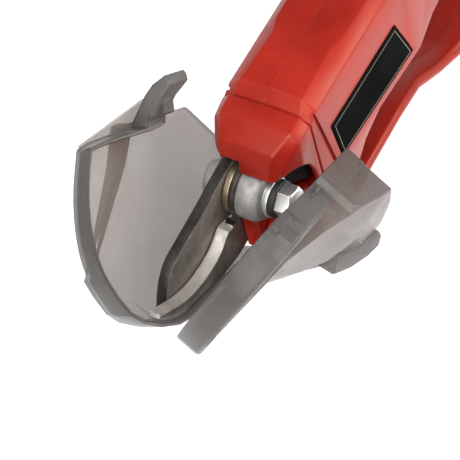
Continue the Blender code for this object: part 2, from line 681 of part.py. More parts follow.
def drive():
    """Planetary gearbox can, motor can, end cap and rotor."""
    can = tube(GEARBOX_RADIUS, 3.4, -60.6, -36.4, "x", steps=28)
    hollow = rod(12.6, -58.8, -44.0, "x", steps=24)
    vent = block((-54.0, -50.0), (-30, 30), (-4.0, 4.0))
    place(cut(can, hollow, vent), "gearbox_can", "cast_metal")
    motor = turned([(MOTOR_RADIUS, -61.4), (MOTOR_RADIUS, -104.0), (13.4, -104.0), (13.4, -63.0),
                    (3.4, -63.0), (3.4, -61.4)], "x", steps=28, ring=True)
    place(motor, "motor_can", "cast_metal")
    magnets = []
    for start in (25, 205):
        outline = arc((0, 0), 13.1, start, start + 130, 10) + arc((0, 0), 10.8, start + 130, start, 10)
        magnets.append(loft([[(-66.0, y, z) for y, z in outline], [(-100.0, y, z) for y, z in outline]]))
    place_each(magnets, "motor_magnet", "black_plastic")
    profile = [(1.6, -110.0), (1.6, -101.0), (10.0, -100.8), (10.0, -67.0), (1.6, -66.6), (1.6, -60.9)]
    rotor = turned(profile, "x", steps=20)
    slots = [block((-99.0, -69.0), (-0.8, 0.8), (6.5, 12.0)) for _ in range(6)]
    for k, slot in enumerate(slots):
        turn_about(slot, (0, 0, 0), (1, 0, 0), 60 * k)
    place(cut(rotor, *slots), "motor_rotor", "copper")
    cap = turned([(MOTOR_RADIUS, -104.3), (MOTOR_RADIUS, -107.0), (9.0, -112.0), (2.0, -112.0),
                  (2.0, -104.3)], "x", steps=24, ring=True)
    place(cap, "motor_end_cap", "black_plastic")


# Controls in the grip


def controls():
    """Trigger with its pin and spring, cross-bolt lock, switch and control board."""
    finger_side = smooth_outline([(-115.4, -13.0), (-115.6, -20.0), (-118.0, -27.0), (-124.0, -31.0),
                                  (-132.0, -30.6), (-141.0, -28.0), (-150.6, -29.6)], 2)
    outline = [(-119.0, -10.0), (-116.4, -10.8)] + finger_side + [(-151.0, -15.0), (-138.0, -13.6),
                                                                  (-122.0, -10.6)]
    trigger = soften(prism(list(reversed(outline)), -TRIGGER_HALF, TRIGGER_HALF), 1.2, 2, 50)
    cut(trigger, rod(1.75, -10, 10, "y", (TRIGGER_PIN[0], 0, TRIGGER_PIN[1]), 20),
        rod(3.4, -20.4, 0.0, "z", (-142.0, 0, 0), 20))
    place(trigger, "trigger", "black_plastic", (TRIGGER_PIN[0], 0, TRIGGER_PIN[1]))
    place(rod(1.5, -9.0, 9.0, "y", (TRIGGER_PIN[0], 0, TRIGGER_PIN[1]), 20), "trigger_pin", "zinc")
    place(coil(2.5, 0.45, -20.0, -7.0, 5, (-142.0, 0.0)), "trigger_spring", "zinc")
    switch = block((-151.0, -128.0), (-8.0, 8.0), (-6.4, 11.0))
    place(soften(switch, 0.8, 1), "switch_body", "black_plastic")
    radius = LOCK_BOLT_RADIUS
    bolt = turned([(radius - 1, -21.0), (radius, -20.0), (radius, 20.0), (radius - 1, 21.0)], "y",
                  (LOCK_BOLT[0], 0, LOCK_BOLT[1]), 20)
    place(bolt, "lock_off_bolt", "black_plastic", (LOCK_BOLT[0], 0, LOCK_BOLT[1]))
    board = block((-243.0, -196.0), (-13.0, 13.0), (2.0, 3.6))
    parts = [block((-236.0, -226.0), (-9.0, -1.0), (3.4, 8.0)),
             rod(3.2, 3.4, 11.0, "z", (-218.0, 5.0, 0), 20),
             block((-210.0, -202.0), (-8.0, 8.0), (3.4, 5.6))]
    place(join(board, *parts), "control_board", "board_green")


def coil(radius, wire, low, high, turns, centre):
    """Compression spring along z, one unbroken wire; prints the least gap between its turns."""
    curve = bpy.data.curves.new("coil", "CURVE")
    curve.dimensions = "3D"
    curve.bevel_depth = wire * MM
    curve.bevel_resolution = 0
    curve.use_fill_caps = True
    steps = turns * 8
    middle = []
    for k in range(steps + 1):
        angle = 2 * math.pi * k / 8
        height = low + wire + (high - low - 2 * wire) * k / steps
        middle.append(Vector((centre[0] + radius * math.cos(angle),
                              centre[1] + radius * math.sin(angle), height)))
    gap = min((a - b).length for i, a in enumerate(middle) for b in middle[i + 5:]) - 2 * wire
    print(f"spring of radius {radius} mm: least gap between turns {gap:.2f} mm")
    line = curve.splines.new("POLY")
    line.points.add(steps)
    for point, spot in zip(line.points, middle):
        point.co = (*(spot * MM), 1.0)
    holder = bpy.data.objects.new("coil", curve)
    bpy.context.scene.collection.objects.link(holder)
    graph = bpy.context.evaluated_depsgraph_get()
    mesh = bpy.data.meshes.new_from_object(holder.evaluated_get(graph))
    bpy.data.objects.remove(holder, do_unlink=True)
    bm = bmesh.new()
    bm.from_mesh(mesh)
    return shape_from(bm, merge=True)


# Guard

def hinge_to_body(s, h):
    """Turn a place given along and square to the hinge into (x, z)."""
    slope = math.radians(HINGE_SLOPE)
    return (HINGE_POINT[0] + s * math.cos(slope) - h * math.sin(slope),
            HINGE_POINT[1] + s * math.sin(slope) + h * math.cos(slope))


def along_hinge(shape):
    """Carry a shape built on the x axis to the guard hinge."""
    slope = Matrix.Rotation(-math.radians(HINGE_SLOPE), 4, "Y")
    lift = Matrix.Translation(Vector((HINGE_POINT[0], GUARD_PLANE, HINGE_POINT[1])) * MM)
    shape.data.transform(lift @ slope)
    return shape


def hinge_rod(radius, start, end, steps=28):
    """Make a cylinder on the guard hinge."""
    return along_hinge(rod(radius, start, end, "x", steps=steps))


GUARD_FLOOR = [(-32.0, 0.7), (40.0, 0.7), (56.0, 0.9), (66.0, 3.2), (77.0, 8.8), (86.0, 15.8), (92.6, 23.6)]
GUARD_FRONT = [(97.0, 33.6), (100.2, 46.0), (100.6, 58.0), (97.4, 71.0), (91.2, 83.0), (82.0, 94.6)]
GUARD_REAR = [(-8.0, 60.0), (-18.5, 42.0), (-28.5, 20.0)]
LEFT_ROOF = [(76.0, 95.2), (67.0, 92.4), (64.6, 88.6), (32.4, 78.3), (29.6, 81.0), (5.0, 77.6)]
RIGHT_ROOF = [(74.0, 92.6), (62.0, 88.4), (42.0, 80.6), (22.0, 75.4), (5.0, 71.6)]
LEFT_BULGE = [
    # place along the hinge, crease height, depth low down, slope from and to, depth above it, at the crease
    (-34.0, 88.0, 24.0, 6.0, 26.0, 28.6, 25.0),
    (-11.0, 88.0, 24.0, 6.0, 26.0, 28.6, 25.0),
    (2.0, 87.4, 17.9, 5.0, 40.0, 26.6, 24.4),
    (15.0, 86.4, 11.7, 5.0, 32.0, 23.6, 23.0),
    (32.0, 83.0, 9.4, 12.0, 36.0, 19.6, 19.6),
    (46.0, 78.0, 10.0, 28.0, 44.0, 16.6, 16.6),
    (62.0, 68.0, 10.8, 46.0, 58.0, 13.4, 13.4),
    (80.0, 56.0, 11.0, 44.0, 49.0, 12.9, 12.9),
    (104.0, 42.0, 11.0, 30.0, 35.0, 12.3, 12.3),
]
RIGHT_BULGE = [
    (-34.0, 86.0, 22.6, 5.0, 22.0, 22.8, 22.8),
    (38.0, 86.0, 21.4, 5.0, 22.0, 22.4, 22.4),
    (43.0, 82.0, 20.6, 5.0, 22.0, 21.8, 21.8),
    (53.0, 73.0, 19.0, 5.0, 22.0, 20.4, 20.4),
    (63.0, 67.0, 17.4, 5.0, 22.0, 18.6, 18.6),
    (75.0, 60.0, 15.8, 5.0, 22.0, 16.4, 16.4),
    (88.0, 52.0, 13.4, 5.0, 22.0, 13.6, 13.6),
    (104.0, 43.0, 11.0, 5.0, 22.0, 11.4, 11.4),
]
PADDLE = [
    # place along the hinge, height and y of the low edge, of the high edge, y of the root
    (1.5, 12.5, 22.0, 15.5, 22.4, 19.0),
    (-2.5, 10.0, 28.4, 20.0, 25.0, 20.6),
    (-12.0, 9.6, 31.4, 21.0, 28.4, 24.4),
    (-22.0, 10.6, 33.2, 20.6, 29.4, 24.4),
    (-28.0, 13.0, 33.6, 19.4, 30.8, 24.4),
    (-30.8, 15.2, 32.0, 17.4, 31.6, 24.4),
]
LATCH_SECTION = [
    # y, height over the roof line
    (-7.6, 0.9), (-7.6, 3.4), (0.0, 14.5), (4.3, 18.9), (11.3, 23.0), (12.6, 21.0), (13.0, 18.5),
    (9.3, 15.2), (6.3, 12.5), (0.4, 4.6), (-0.2, 3.6), (-0.2, 0.9),
]
LATCH_NIB = [(5.0, 5.6), (6.6, 6.2), (6.6, 13.5), (5.0, 12.0)]
CATCH_RIB = [(2.6, 0.8), (4.4, 0.8), (4.4, 4.4), (3.6, 5.2), (2.6, 5.2)]


def guard_outline(roof):
    """Side view of a closed guard half, anticlockwise, in hinge coordinates."""
    return GUARD_FLOOR + smooth_outline(GUARD_FRONT, 2) + roof + GUARD_REAR


def to_body(outline):
    """Turn a side outline given in hinge coordinates into (x, z) points, the other way round."""
    return [hinge_to_body(s, h) for s, h in reversed(outline)]


def flat_depth(flat, s, h):
    """Return how far a half's flat face stands off the parting plane."""
    start, along, off = flat
    return start + along * s + off * h


def flat_ring(outline, side, flat, short):
    """Ring of points that stays the given amount short of a half's flat face."""
    depths = [side * (flat_depth(flat, s, h) - short) for s, h in reversed(outline)]
    return [(x, GUARD_PLANE + y, z) for (x, z), y in zip(to_body(outline), depths)]


def bulge(side, flat, rows, inset):
    """Swollen lower part of a guard half, as sections square to the hinge."""
    rings = []
    for s, crease, low_depth, slope_from, slope_to, depth, crease_depth in rows:
        low, high, top = low_depth - inset, depth - inset, crease - inset
        edge = flat_depth(flat, s, top)
        section = [(-8.0, -6.0), (-8.0, low - 4.0), (inset, low - 4.0), (4.6, low), (slope_from, low + 0.02),
                   (slope_to, high), (top - 0.28 * (crease_depth - edge) - 1.6, crease_depth - inset),
                   (top, edge - 0.6 - inset), (top, -6.0)]
        ring = []
        for h, y in section:
            x, z = hinge_to_body(s, h)
            ring.append((x, GUARD_PLANE + side * y, z))
        rings.append(ring)
    return loft(rings)


def guard_form(side, flat, rows, roof, inset):
    """Solid form of a guard half, or of its inside when inset is the wall thickness."""
    outline = guard_outline(roof)
    start, limit_start, limit_outline = GAP / 2, GAP / 2 + 0.4, inset_outline(outline, 0.5)
    rims = [(outline, GUARD_EDGE), (inset_outline(outline, 0.3 * GUARD_EDGE), 0.3 * GUARD_EDGE),
            (inset_outline(outline, GUARD_EDGE), 0.0)]
    if inset:
        outline = inset_outline(outline, inset)
        rear = len(GUARD_REAR)
        outline[0] = (outline[0][0] - 12.0, outline[0][1])
        outline[-rear:] = [(s - 12.0, h) for s, h in outline[-rear:]]
        outline[-rear - 1] = (outline[-rear - 1][0] - 10.0, outline[-rear - 1][1] - 2.0)
        start, limit_start, limit_outline = -5.0, -5.0, outline
        rims = [(outline, inset)]
    mouth = [(x, GUARD_PLANE + side * start, z) for x, z in to_body(outline)]
    flat_part = loft([mouth, *[flat_ring(rim, side, flat, short) for rim, short in rims]])
    limit = prism(to_body(limit_outline), GUARD_PLANE + side * limit_start, GUARD_PLANE + side * 40)
    return join(flat_part, keep_inside(bulge(side, flat, rows, inset), limit))


def guard_half(side, flat, rows, roof, own_knuckles, other_knuckles):
    """One translucent guard half with its knuckles, built closed."""
    shell = guard_form(side, flat, rows, roof, 0.0)
    cut(shell, guard_form(side, flat, rows, roof, GUARD_WALL))
    chin_space = along_hinge(block((-60.0, EYE_END + 0.6), (-17.5, 17.5), (-6.0, 12.0)))
    cut(shell, chin_space, *[hinge_rod(KNUCKLE_RADIUS + 0.5, a - 0.5, b + 0.5) for a, b in other_knuckles])
    for start, end in own_knuckles:
        foot = block((start, end), tuple(sorted((side * 1.0, side * 8.0))), (0.8, 2.3))
        join(shell, hinge_rod(KNUCKLE_RADIUS, start, end), along_hinge(foot))
    return cut(shell, hinge_rod(HINGE_RADIUS + 0.25, -5.0, 40.0))


def roof_piece(start, end, section):
    """Piece on the sloping roof, from (y, height) corners square to the roof line."""
    rings = []
    for spot in (start, end):
        ring = []
        for y, height in section:
            x, z = hinge_to_body(spot - 0.345 * height, 77.0 + 0.368 * (spot - 36.6) + 0.938 * height)
            ring.append((x, y, z))
        rings.append(ring)
    return loft(rings)


def paddle():
    """Leaf-shaped finger rest that stands out from the left half."""
    rings = []
    for s, low, low_y, high, high_y, root in PADDLE:
        section = [(low, root), (low, low_y - 0.8), (low + 0.8, low_y), (high - 0.8, high_y),
                   (high, high_y - 0.8), (high, root)]
        ring = []
        for h, y in section:
            x, z = hinge_to_body(s, h)
            ring.append((x, y, z))
        rings.append(ring)
    return loft(rings)


def guards():
    """Both guard halves, the catch that holds them together and the hinge pin."""
    slope = math.radians(HINGE_SLOPE)
    axis = (math.cos(slope), 0.0, math.sin(slope))
    origin = (HINGE_POINT[0], GUARD_PLANE, HINGE_POINT[1])
    left = guard_half(1, LEFT_FLAT, LEFT_BULGE, LEFT_ROOF, LEFT_KNUCKLES, RIGHT_KNUCKLES)
    corner_lug = along_hinge(block((72.0, 83.5), (0.3, 4.6), (91.0, 96.8)))
    join(left, paddle(), roof_piece(36.0, 42.0, CATCH_RIB), soften(corner_lug, 0.8, 2))
    place(turn_about(left, origin, axis, -GUARD_LEFT_REST), "guard_left", "smoke_plastic", origin)
    right = guard_half(-1, RIGHT_FLAT, RIGHT_BULGE, RIGHT_ROOF, RIGHT_KNUCKLES, LEFT_KNUCKLES)
    above = prism(to_body([(-60.0, 39.8), (35.5, 77.0), (35.5, 120.0), (-60.0, 120.0)]), -40.0, 7.0)
    cut(right, above)
    join(right, soften(roof_piece(33.0, 46.0, LATCH_SECTION), 0.6, 1, 25), roof_piece(36.0, 42.0, LATCH_NIB))
    place(turn_about(right, origin, axis, GUARD_RIGHT_REST), "guard_right", "smoke_plastic", origin)
    place(hinge_rod(HINGE_RADIUS, -15.8, 33.5), "guard_hinge_pin", "zinc")


# Battery

def case_ring(z, shrink):
    """Level section of the battery case with cut corners."""
    x0, x1, y1 = BATTERY_REAR + shrink, BATTERY_FRONT - shrink, BATTERY_HALF_WIDTH - shrink
    corner = BATTERY_CORNER
    plan = [(x0 + corner, -y1), (x1 - corner, -y1), (x1, -y1 + corner), (x1, y1 - corner), (x1 - corner, y1),
            (x0 + corner, y1), (x0, y1 - corner), (x0, -y1 + corner)]
    return [(x, y, z) for x, y in plan]


def battery():
    """Slide-on pack: two case halves, eight cells, contacts, release button and its spring."""
    front, rear = BATTERY_FRONT, BATTERY_REAR
    low, parting, high = -PIVOT_Z, -44.0, FOOT_LOW - GAP
    lower = loft([case_ring(low, 3.0), case_ring(low + 3.0, 0.0), case_ring(parting - GAP, 0.0)])
    cut(lower, loft([case_ring(low + 2.4, 3.2), case_ring(parting + 5, 2.4)]))
    place(lower, "battery_case_lower", "black_plastic")
    upper = loft([case_ring(parting, 0.0), case_ring(high - 4.0, 0.0), case_ring(high, 3.0)])
    cut(upper, loft([case_ring(parting - 5, 2.4), case_ring(high - 5.4, 4.0)]))
    button_pocket = block((rear + 1.0, rear + 18.4), (-13.2, 13.2), (high - 9.3, high - 4.0))
    rail = block((rear + 16.0, front - 1.0), (-RAIL_HALF, RAIL_HALF), (high - 4.0, high + 5.6))
    lip = RAIL_HALF + 3.0
    rail_lips = block((rear + 16.0, front - 1.0), (-lip, lip), (high + 3.2, high + 5.6))
    join(upper, button_pocket, rail, rail_lips)
    button_bay = block((rear - 5, rear + 16.6), (-11.3, 11.3), (high - 7.9, high - 2.1))
    slots = [block((rear + 30.0, front + 4), (y - 1.0, y + 1.0), (high + 0.4, high + 8))
             for y in CONTACT_PLACES]
    cut(upper, button_bay, *slots)
    place(upper, "battery_case_upper", "black_plastic")
    cells = []
    for layer in range(2):
        for column in range(4):
            centre = ((front + rear) / 2 + CELL_PITCH * (column - 1.5), 0.0, low + 11.8 + 18.3 * layer)
            cells.append(rod(CELL_RADIUS, -CELL_LENGTH / 2, CELL_LENGTH / 2, "y", centre, 16))
    place_each(cells, "battery_cell", "cell_wrap")
    contacts = [block((rear + 32.0, front - 18.0), (y - 0.6, y + 0.6), (high + 0.7, high + 4.8))
                for y in CONTACT_PLACES]
    place_each(contacts, "battery_contact", "copper")
    button = block((rear - 0.8, rear + 10.6), (-11.0, 11.0), (high - 7.6, high - 2.4))
    grips = [block((rear - 2.0, rear - 0.2), (y - 0.6, y + 0.6), (high - 9.0, high - 1.0))
             for y in (-6, -2, 2, 6)]
    place(cut(soften(button, 0.8, 2), *grips), "battery_release_button", "red_plastic",
          (rear, 0.0, high - 5.0))
    spring = coil(1.9, 0.33, 0.0, 5.2, 4, (0.0, 0.0))
    spring.data.transform(Matrix.Translation(Vector((rear + 11.0, 0.0, high - 5.0)) * MM)
                          @ Matrix.Rotation(math.radians(90), 4, "Y"))
    place(spring, "release_spring", "zinc")
    blades = [plan_prism([(front + 1.4, y - 0.4), (front - 14.0, y - 0.4), (front - 14.0, y + 0.4),
                          (front + 1.4, y + 0.4)], high + 1.4, high + 9.0) for y in CONTACT_PLACES]
    holder = block((front + 0.9, front + 8.6), (-13.0, 13.0), (high + 6.2, high + 13.0))
    place(cut(join(holder, *blades), block((front, front + 9), (-14, 14), (high, high + 6.1))),
          "terminal_block", "black_plastic")


def build():
    """Build every piece."""
    clear_scene()
    tool = bpy.data.objects.new("tool", None)
    tool.location = Vector((PIVOT_X, 0.0, PIVOT_Z)) * MM
    bpy.context.scene.collection.objects.link(tool)
    housing()
    label_plate()
    screws()
    nose_cover()
    gear_case()
    hook_blade()
    cutting_blade()
    pivot_pieces()
    pinion()
    drive()
    controls()
    guards()
    battery()
    bpy.context.view_layer.update()


build()
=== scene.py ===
"""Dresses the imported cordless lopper: finishes, softened mouldings, turned metal and a plain studio.

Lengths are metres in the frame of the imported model: x runs to the blade tips, y to the tool's left, z up.
"""
from __future__ import annotations

import json
import logging
import math
from dataclasses import dataclass, field
from enum import Enum
from typing import Sequence

import bmesh
import bpy
import numpy as np
from mathutils import Matrix, Vector
from mathutils.bvhtree import BVHTree
from mathutils.kdtree import KDTree


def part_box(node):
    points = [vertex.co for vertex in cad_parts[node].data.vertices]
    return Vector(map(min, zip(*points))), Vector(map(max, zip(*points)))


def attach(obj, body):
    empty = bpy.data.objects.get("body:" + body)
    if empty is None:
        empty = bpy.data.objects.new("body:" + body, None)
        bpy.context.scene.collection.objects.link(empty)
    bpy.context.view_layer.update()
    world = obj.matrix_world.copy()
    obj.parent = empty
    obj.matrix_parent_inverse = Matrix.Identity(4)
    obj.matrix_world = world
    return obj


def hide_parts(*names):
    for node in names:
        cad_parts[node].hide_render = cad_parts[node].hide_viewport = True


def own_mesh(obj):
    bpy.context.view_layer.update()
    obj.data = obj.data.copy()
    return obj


Triple = tuple[float, float, float]

LOG = logging.getLogger("lopper")
MM = 0.001

# The middle of the blades' pivot.
PIVOT = np.array([0.262, 0.0, 0.075])

# Faces that meet at less than the first angle are one flat face; new pieces are smooth up to the other.
FLAT_ANGLE = math.radians(1.0)
SMOOTH_ANGLE = math.radians(38.0)

# Points this near each other are one point, in a new mesh and in a copy of a CAD mesh.
NEW_MERGE = 0.000001
COPY_MERGE = 0.000002

# Points this near to y = 0 lie on the halves' parting plane, where a rounding has this share of its width.
PARTING_REACH = 0.2 * MM
PARTING_SHARE = 0.15

# This layer keeps the share of the rounding's width that each edge gets; one with less than this is sharp.
ROUNDING_LAYER = "bevel_weight_edge"
LEAST_ROUNDING = 0.02

# A rounding takes at most this share of the room beside its edge, which edges that lead away from it bound.
# An edge leads away from another where the sine of the angle between them is more than the second value.
ROOM_SHARE = 0.4
LEADING_AWAY = 0.5

# A rounding may leave the CAD surface by this share of its width; the others are taken off in these rounds.
STRAY_SHARE = 0.7
SETTLE_ROUNDS = 8

# A corner's curve in a profile takes at most this share of the shorter side beside it.
CORNER_SHARE = 0.45

# Turn of the drawn marks on the blades, in radians.
STROKE_TURN = (0.0, -0.5, 0.0)


class Body(Enum):
    """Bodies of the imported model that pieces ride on."""

    TOOL = "body"
    CUTTER = "cutter"
    TRIGGER = "trigger_lever"
    LOCK = "lock_bolt"
    LEFT_GUARD = "left_guard"
    RIGHT_GUARD = "right_guard"
    BATTERY = "battery"
    BUTTON = "release_button"


# Shader building

class ShaderGraph:
    """Small wrapper that adds nodes to one material and joins them."""

    def __init__(self, name: str) -> None:
        """Start a material with a Principled shader.

        Args:
            name: The material's name.
        """
        self.material = bpy.data.materials.new(name)
        self.material.use_nodes = True
        self.tree = self.material.node_tree
        self.shader = self.tree.nodes["Principled BSDF"]
        self.place = self.tree.nodes.new("ShaderNodeTexCoord").outputs["Object"]

    def link(self, source: bpy.types.NodeSocket, target: bpy.types.NodeSocket) -> None:
        """Join an output to an input."""
        self.tree.links.new(source, target)

    def stretched(self, scale: Triple, turn: Triple) -> bpy.types.NodeSocket:
        """Turn and scale the object coordinates.

        Args:
            scale: Factor on each axis.
            turn: Rotation in radians.

        Returns:
            The mapped vector.
        """
        node = self.tree.nodes.new("ShaderNodeMapping")
        node.inputs["Scale"].default_value = scale
        node.inputs["Rotation"].default_value = turn
        self.link(self.place, node.inputs["Vector"])
        return node.outputs["Vector"]

    def noise(self, vector: bpy.types.NodeSocket, scale: float, detail: float,
              roughness: float = 0.5) -> bpy.types.NodeSocket:
        """Add fractal noise.

        Args:
            vector: Where it is read.
            scale: Cells to the metre, before any stretch.
            detail: Number of octaves.
            roughness: Weight of the finer octaves.

        Returns:
            The noise value, 0 to 1.
        """
        node = self.tree.nodes.new("ShaderNodeTexNoise")
        node.inputs["Scale"].default_value = scale
        node.inputs["Detail"].default_value = detail
        node.inputs["Roughness"].default_value = roughness
        self.link(vector, node.inputs["Vector"])
        return node.outputs["Fac"]

    def ramp(self, factor: bpy.types.NodeSocket, *stops: tuple[float, Triple]) -> bpy.types.NodeSocket:
        """Colour a value through a ramp of two colours.

        Args:
            factor: The value.
            stops: Two positions, each with its colour.

        Returns:
            The colour.
        """
        node = self.tree.nodes.new("ShaderNodeValToRGB")
        for element, (position, colour) in zip(node.color_ramp.elements, stops):
            element.position = position
            element.color = (*colour, 1.0)
        self.link(factor, node.inputs["Fac"])
        return node.outputs["Color"]

    def spread(self, factor: bpy.types.NodeSocket, low: float, high: float, start: float = 0.0,
               end: float = 1.0) -> bpy.types.NodeSocket:
        """Map a value from start..end onto low..high.

        Args:
            factor: The value.
            low: Result at start.
            high: Result at end.
            start: Lower end of what comes in.
            end: Upper end of what comes in.

        Returns:
            The mapped value.
        """
        node = self.tree.nodes.new("ShaderNodeMapRange")
        node.inputs["From Min"].default_value = start
        node.inputs["From Max"].default_value = end
        node.inputs["To Min"].default_value = low
        node.inputs["To Max"].default_value = high
        self.link(factor, node.inputs["Value"])
        return node.outputs["Result"]

    def around(self, noise: bpy.types.NodeSocket, middle: float, below: float,
               above: float) -> bpy.types.NodeSocket:
        """Spread noise round a middle value, over the span of 0.3 to 0.7 that most of the noise fills."""
        return self.spread(noise, middle - below, middle + above, start=0.3, end=0.7)

    def bump(self, height: bpy.types.NodeSocket, depth: float, strength: float,
             below: bpy.types.NodeSocket | None = None) -> bpy.types.NodeSocket:
        """Raise the surface by a height pattern.

        Args:
            height: The pattern, 0 to 1.
            depth: Its depth in metres.
            strength: Share of the effect.
            below: A normal that this one is laid over.

        Returns:
            The normal.
        """
        node = self.tree.nodes.new("ShaderNodeBump")
        node.inputs["Distance"].default_value = depth
        node.inputs["Strength"].default_value = strength
        self.link(height, node.inputs["Height"])
        if below is not None:
            self.link(below, node.inputs["Normal"])
        return node.outputs["Normal"]

    def put(self, **values: float | tuple[float, ...]) -> None:
        """Set sockets of the shader; an underscore stands for a space in a socket's name."""
        for name, value in values.items():
            self.shader.inputs[name.replace("_", " ")].default_value = value

    def feed(self, **sources: bpy.types.NodeSocket) -> None:
        """Join outputs to sockets of the shader; an underscore stands for a space in a socket's name."""
        for name, source in sources.items():
            self.link(source, self.shader.inputs[name.replace("_", " ")])


def shown_rays(tree: bpy.types.NodeTree) -> bpy.types.NodeSocket:
    """Find the rays that show a surface to the camera: the largest of three of the light path's marks.

    Args:
        tree: The node tree that it is added to.

    Returns:
        A value of 1 for camera, gloss and transmission rays and 0 for all others.
    """
    paths = tree.nodes.new("ShaderNodeLightPath")
    total = paths.outputs["Is Camera Ray"]
    for kind in ("Is Glossy Ray", "Is Transmission Ray"):
        larger = tree.nodes.new("ShaderNodeMath")
        larger.operation = "MAXIMUM"
        tree.links.new(total, larger.inputs[0])
        tree.links.new(paths.outputs[kind], larger.inputs[1])
        total = larger.outputs["Value"]
    return total


@dataclass(frozen=True)
class Moulded:
    """Moulded plastic: slight mottling, fine grain and a soft gloss."""

    dark: Triple
    light: Triple
    roughness: float
    grain: float = 2600.0
    depth: float = 0.00002
    gloss: float = 0.5
    tint: Triple = (1.0, 1.0, 1.0)

    def shade(self, graph: ShaderGraph) -> None:
        """Fill a material's graph.

        Args:
            graph: The graph of a new material.
        """
        cloud = graph.noise(graph.place, scale=38.0, detail=4.0, roughness=0.55)
        fine = graph.noise(graph.place, scale=self.grain, detail=2.0)
        graph.feed(Base_Color=graph.ramp(cloud, (0.34, self.dark), (0.68, self.light)),
                   Roughness=graph.around(cloud, self.roughness, below=0.05, above=0.07),
                   Normal=graph.bump(fine, self.depth, strength=0.5))
        graph.put(Specular_IOR_Level=self.gloss, Specular_Tint=(*self.tint, 1.0))


@dataclass(frozen=True)
class Smoke:
    """Smoke-tinted clear plastic, seen through like a thin dark sheet."""

    dark: Triple
    light: Triple
    opacity: float
    roughness: float
    gloss: float

    def shade(self, graph: ShaderGraph) -> None:
        """Fill a material's graph.

        Args:
            graph: The graph of a new material.
        """
        cloud = graph.noise(graph.place, scale=22.0, detail=4.0, roughness=0.6)
        haze = graph.noise(graph.place, scale=300.0, detail=2.0)
        graph.feed(Base_Color=graph.ramp(cloud, (0.32, self.dark), (0.7, self.light)),
                   Roughness=graph.around(cloud, self.roughness, below=0.05, above=0.07),
                   Normal=graph.bump(haze, depth=0.00003, strength=0.15),
                   Alpha=graph.around(cloud, self.opacity, below=0.03, above=0.03))
        graph.put(Specular_IOR_Level=self.gloss)


@dataclass(frozen=True)
class Metal:
    """Machined or cast metal with drawn marks along one axis."""

    dark: Triple
    light: Triple
    roughness: float
    marks: Triple = (1.0, 1.0, 1.0)
    scale: float = 900.0
    depth: float = 0.00002
    pitting: float = 0.0
    metallic: float = 1.0
    turn: Triple = (0.0, 0.0, 0.0)

    def shade(self, graph: ShaderGraph) -> None:
        """Fill a material's graph.

        Args:
            graph: The graph of a new material.
        """
        cloud = graph.noise(graph.place, scale=140.0, detail=4.0, roughness=0.6)
        lines = graph.noise(graph.stretched(self.marks, self.turn), self.scale, detail=3.0, roughness=0.6)
        normal = graph.bump(lines, self.depth, strength=0.6)
        if self.pitting:
            pits = graph.noise(graph.place, scale=1500.0, detail=2.0)
            normal = graph.bump(pits, self.pitting, strength=0.7, below=normal)
        graph.feed(Base_Color=graph.ramp(cloud, (0.32, self.dark), (0.68, self.light)),
                   Roughness=graph.around(lines, self.roughness, below=0.08, above=0.14),
                   Normal=normal)
        graph.put(Metallic=self.metallic)


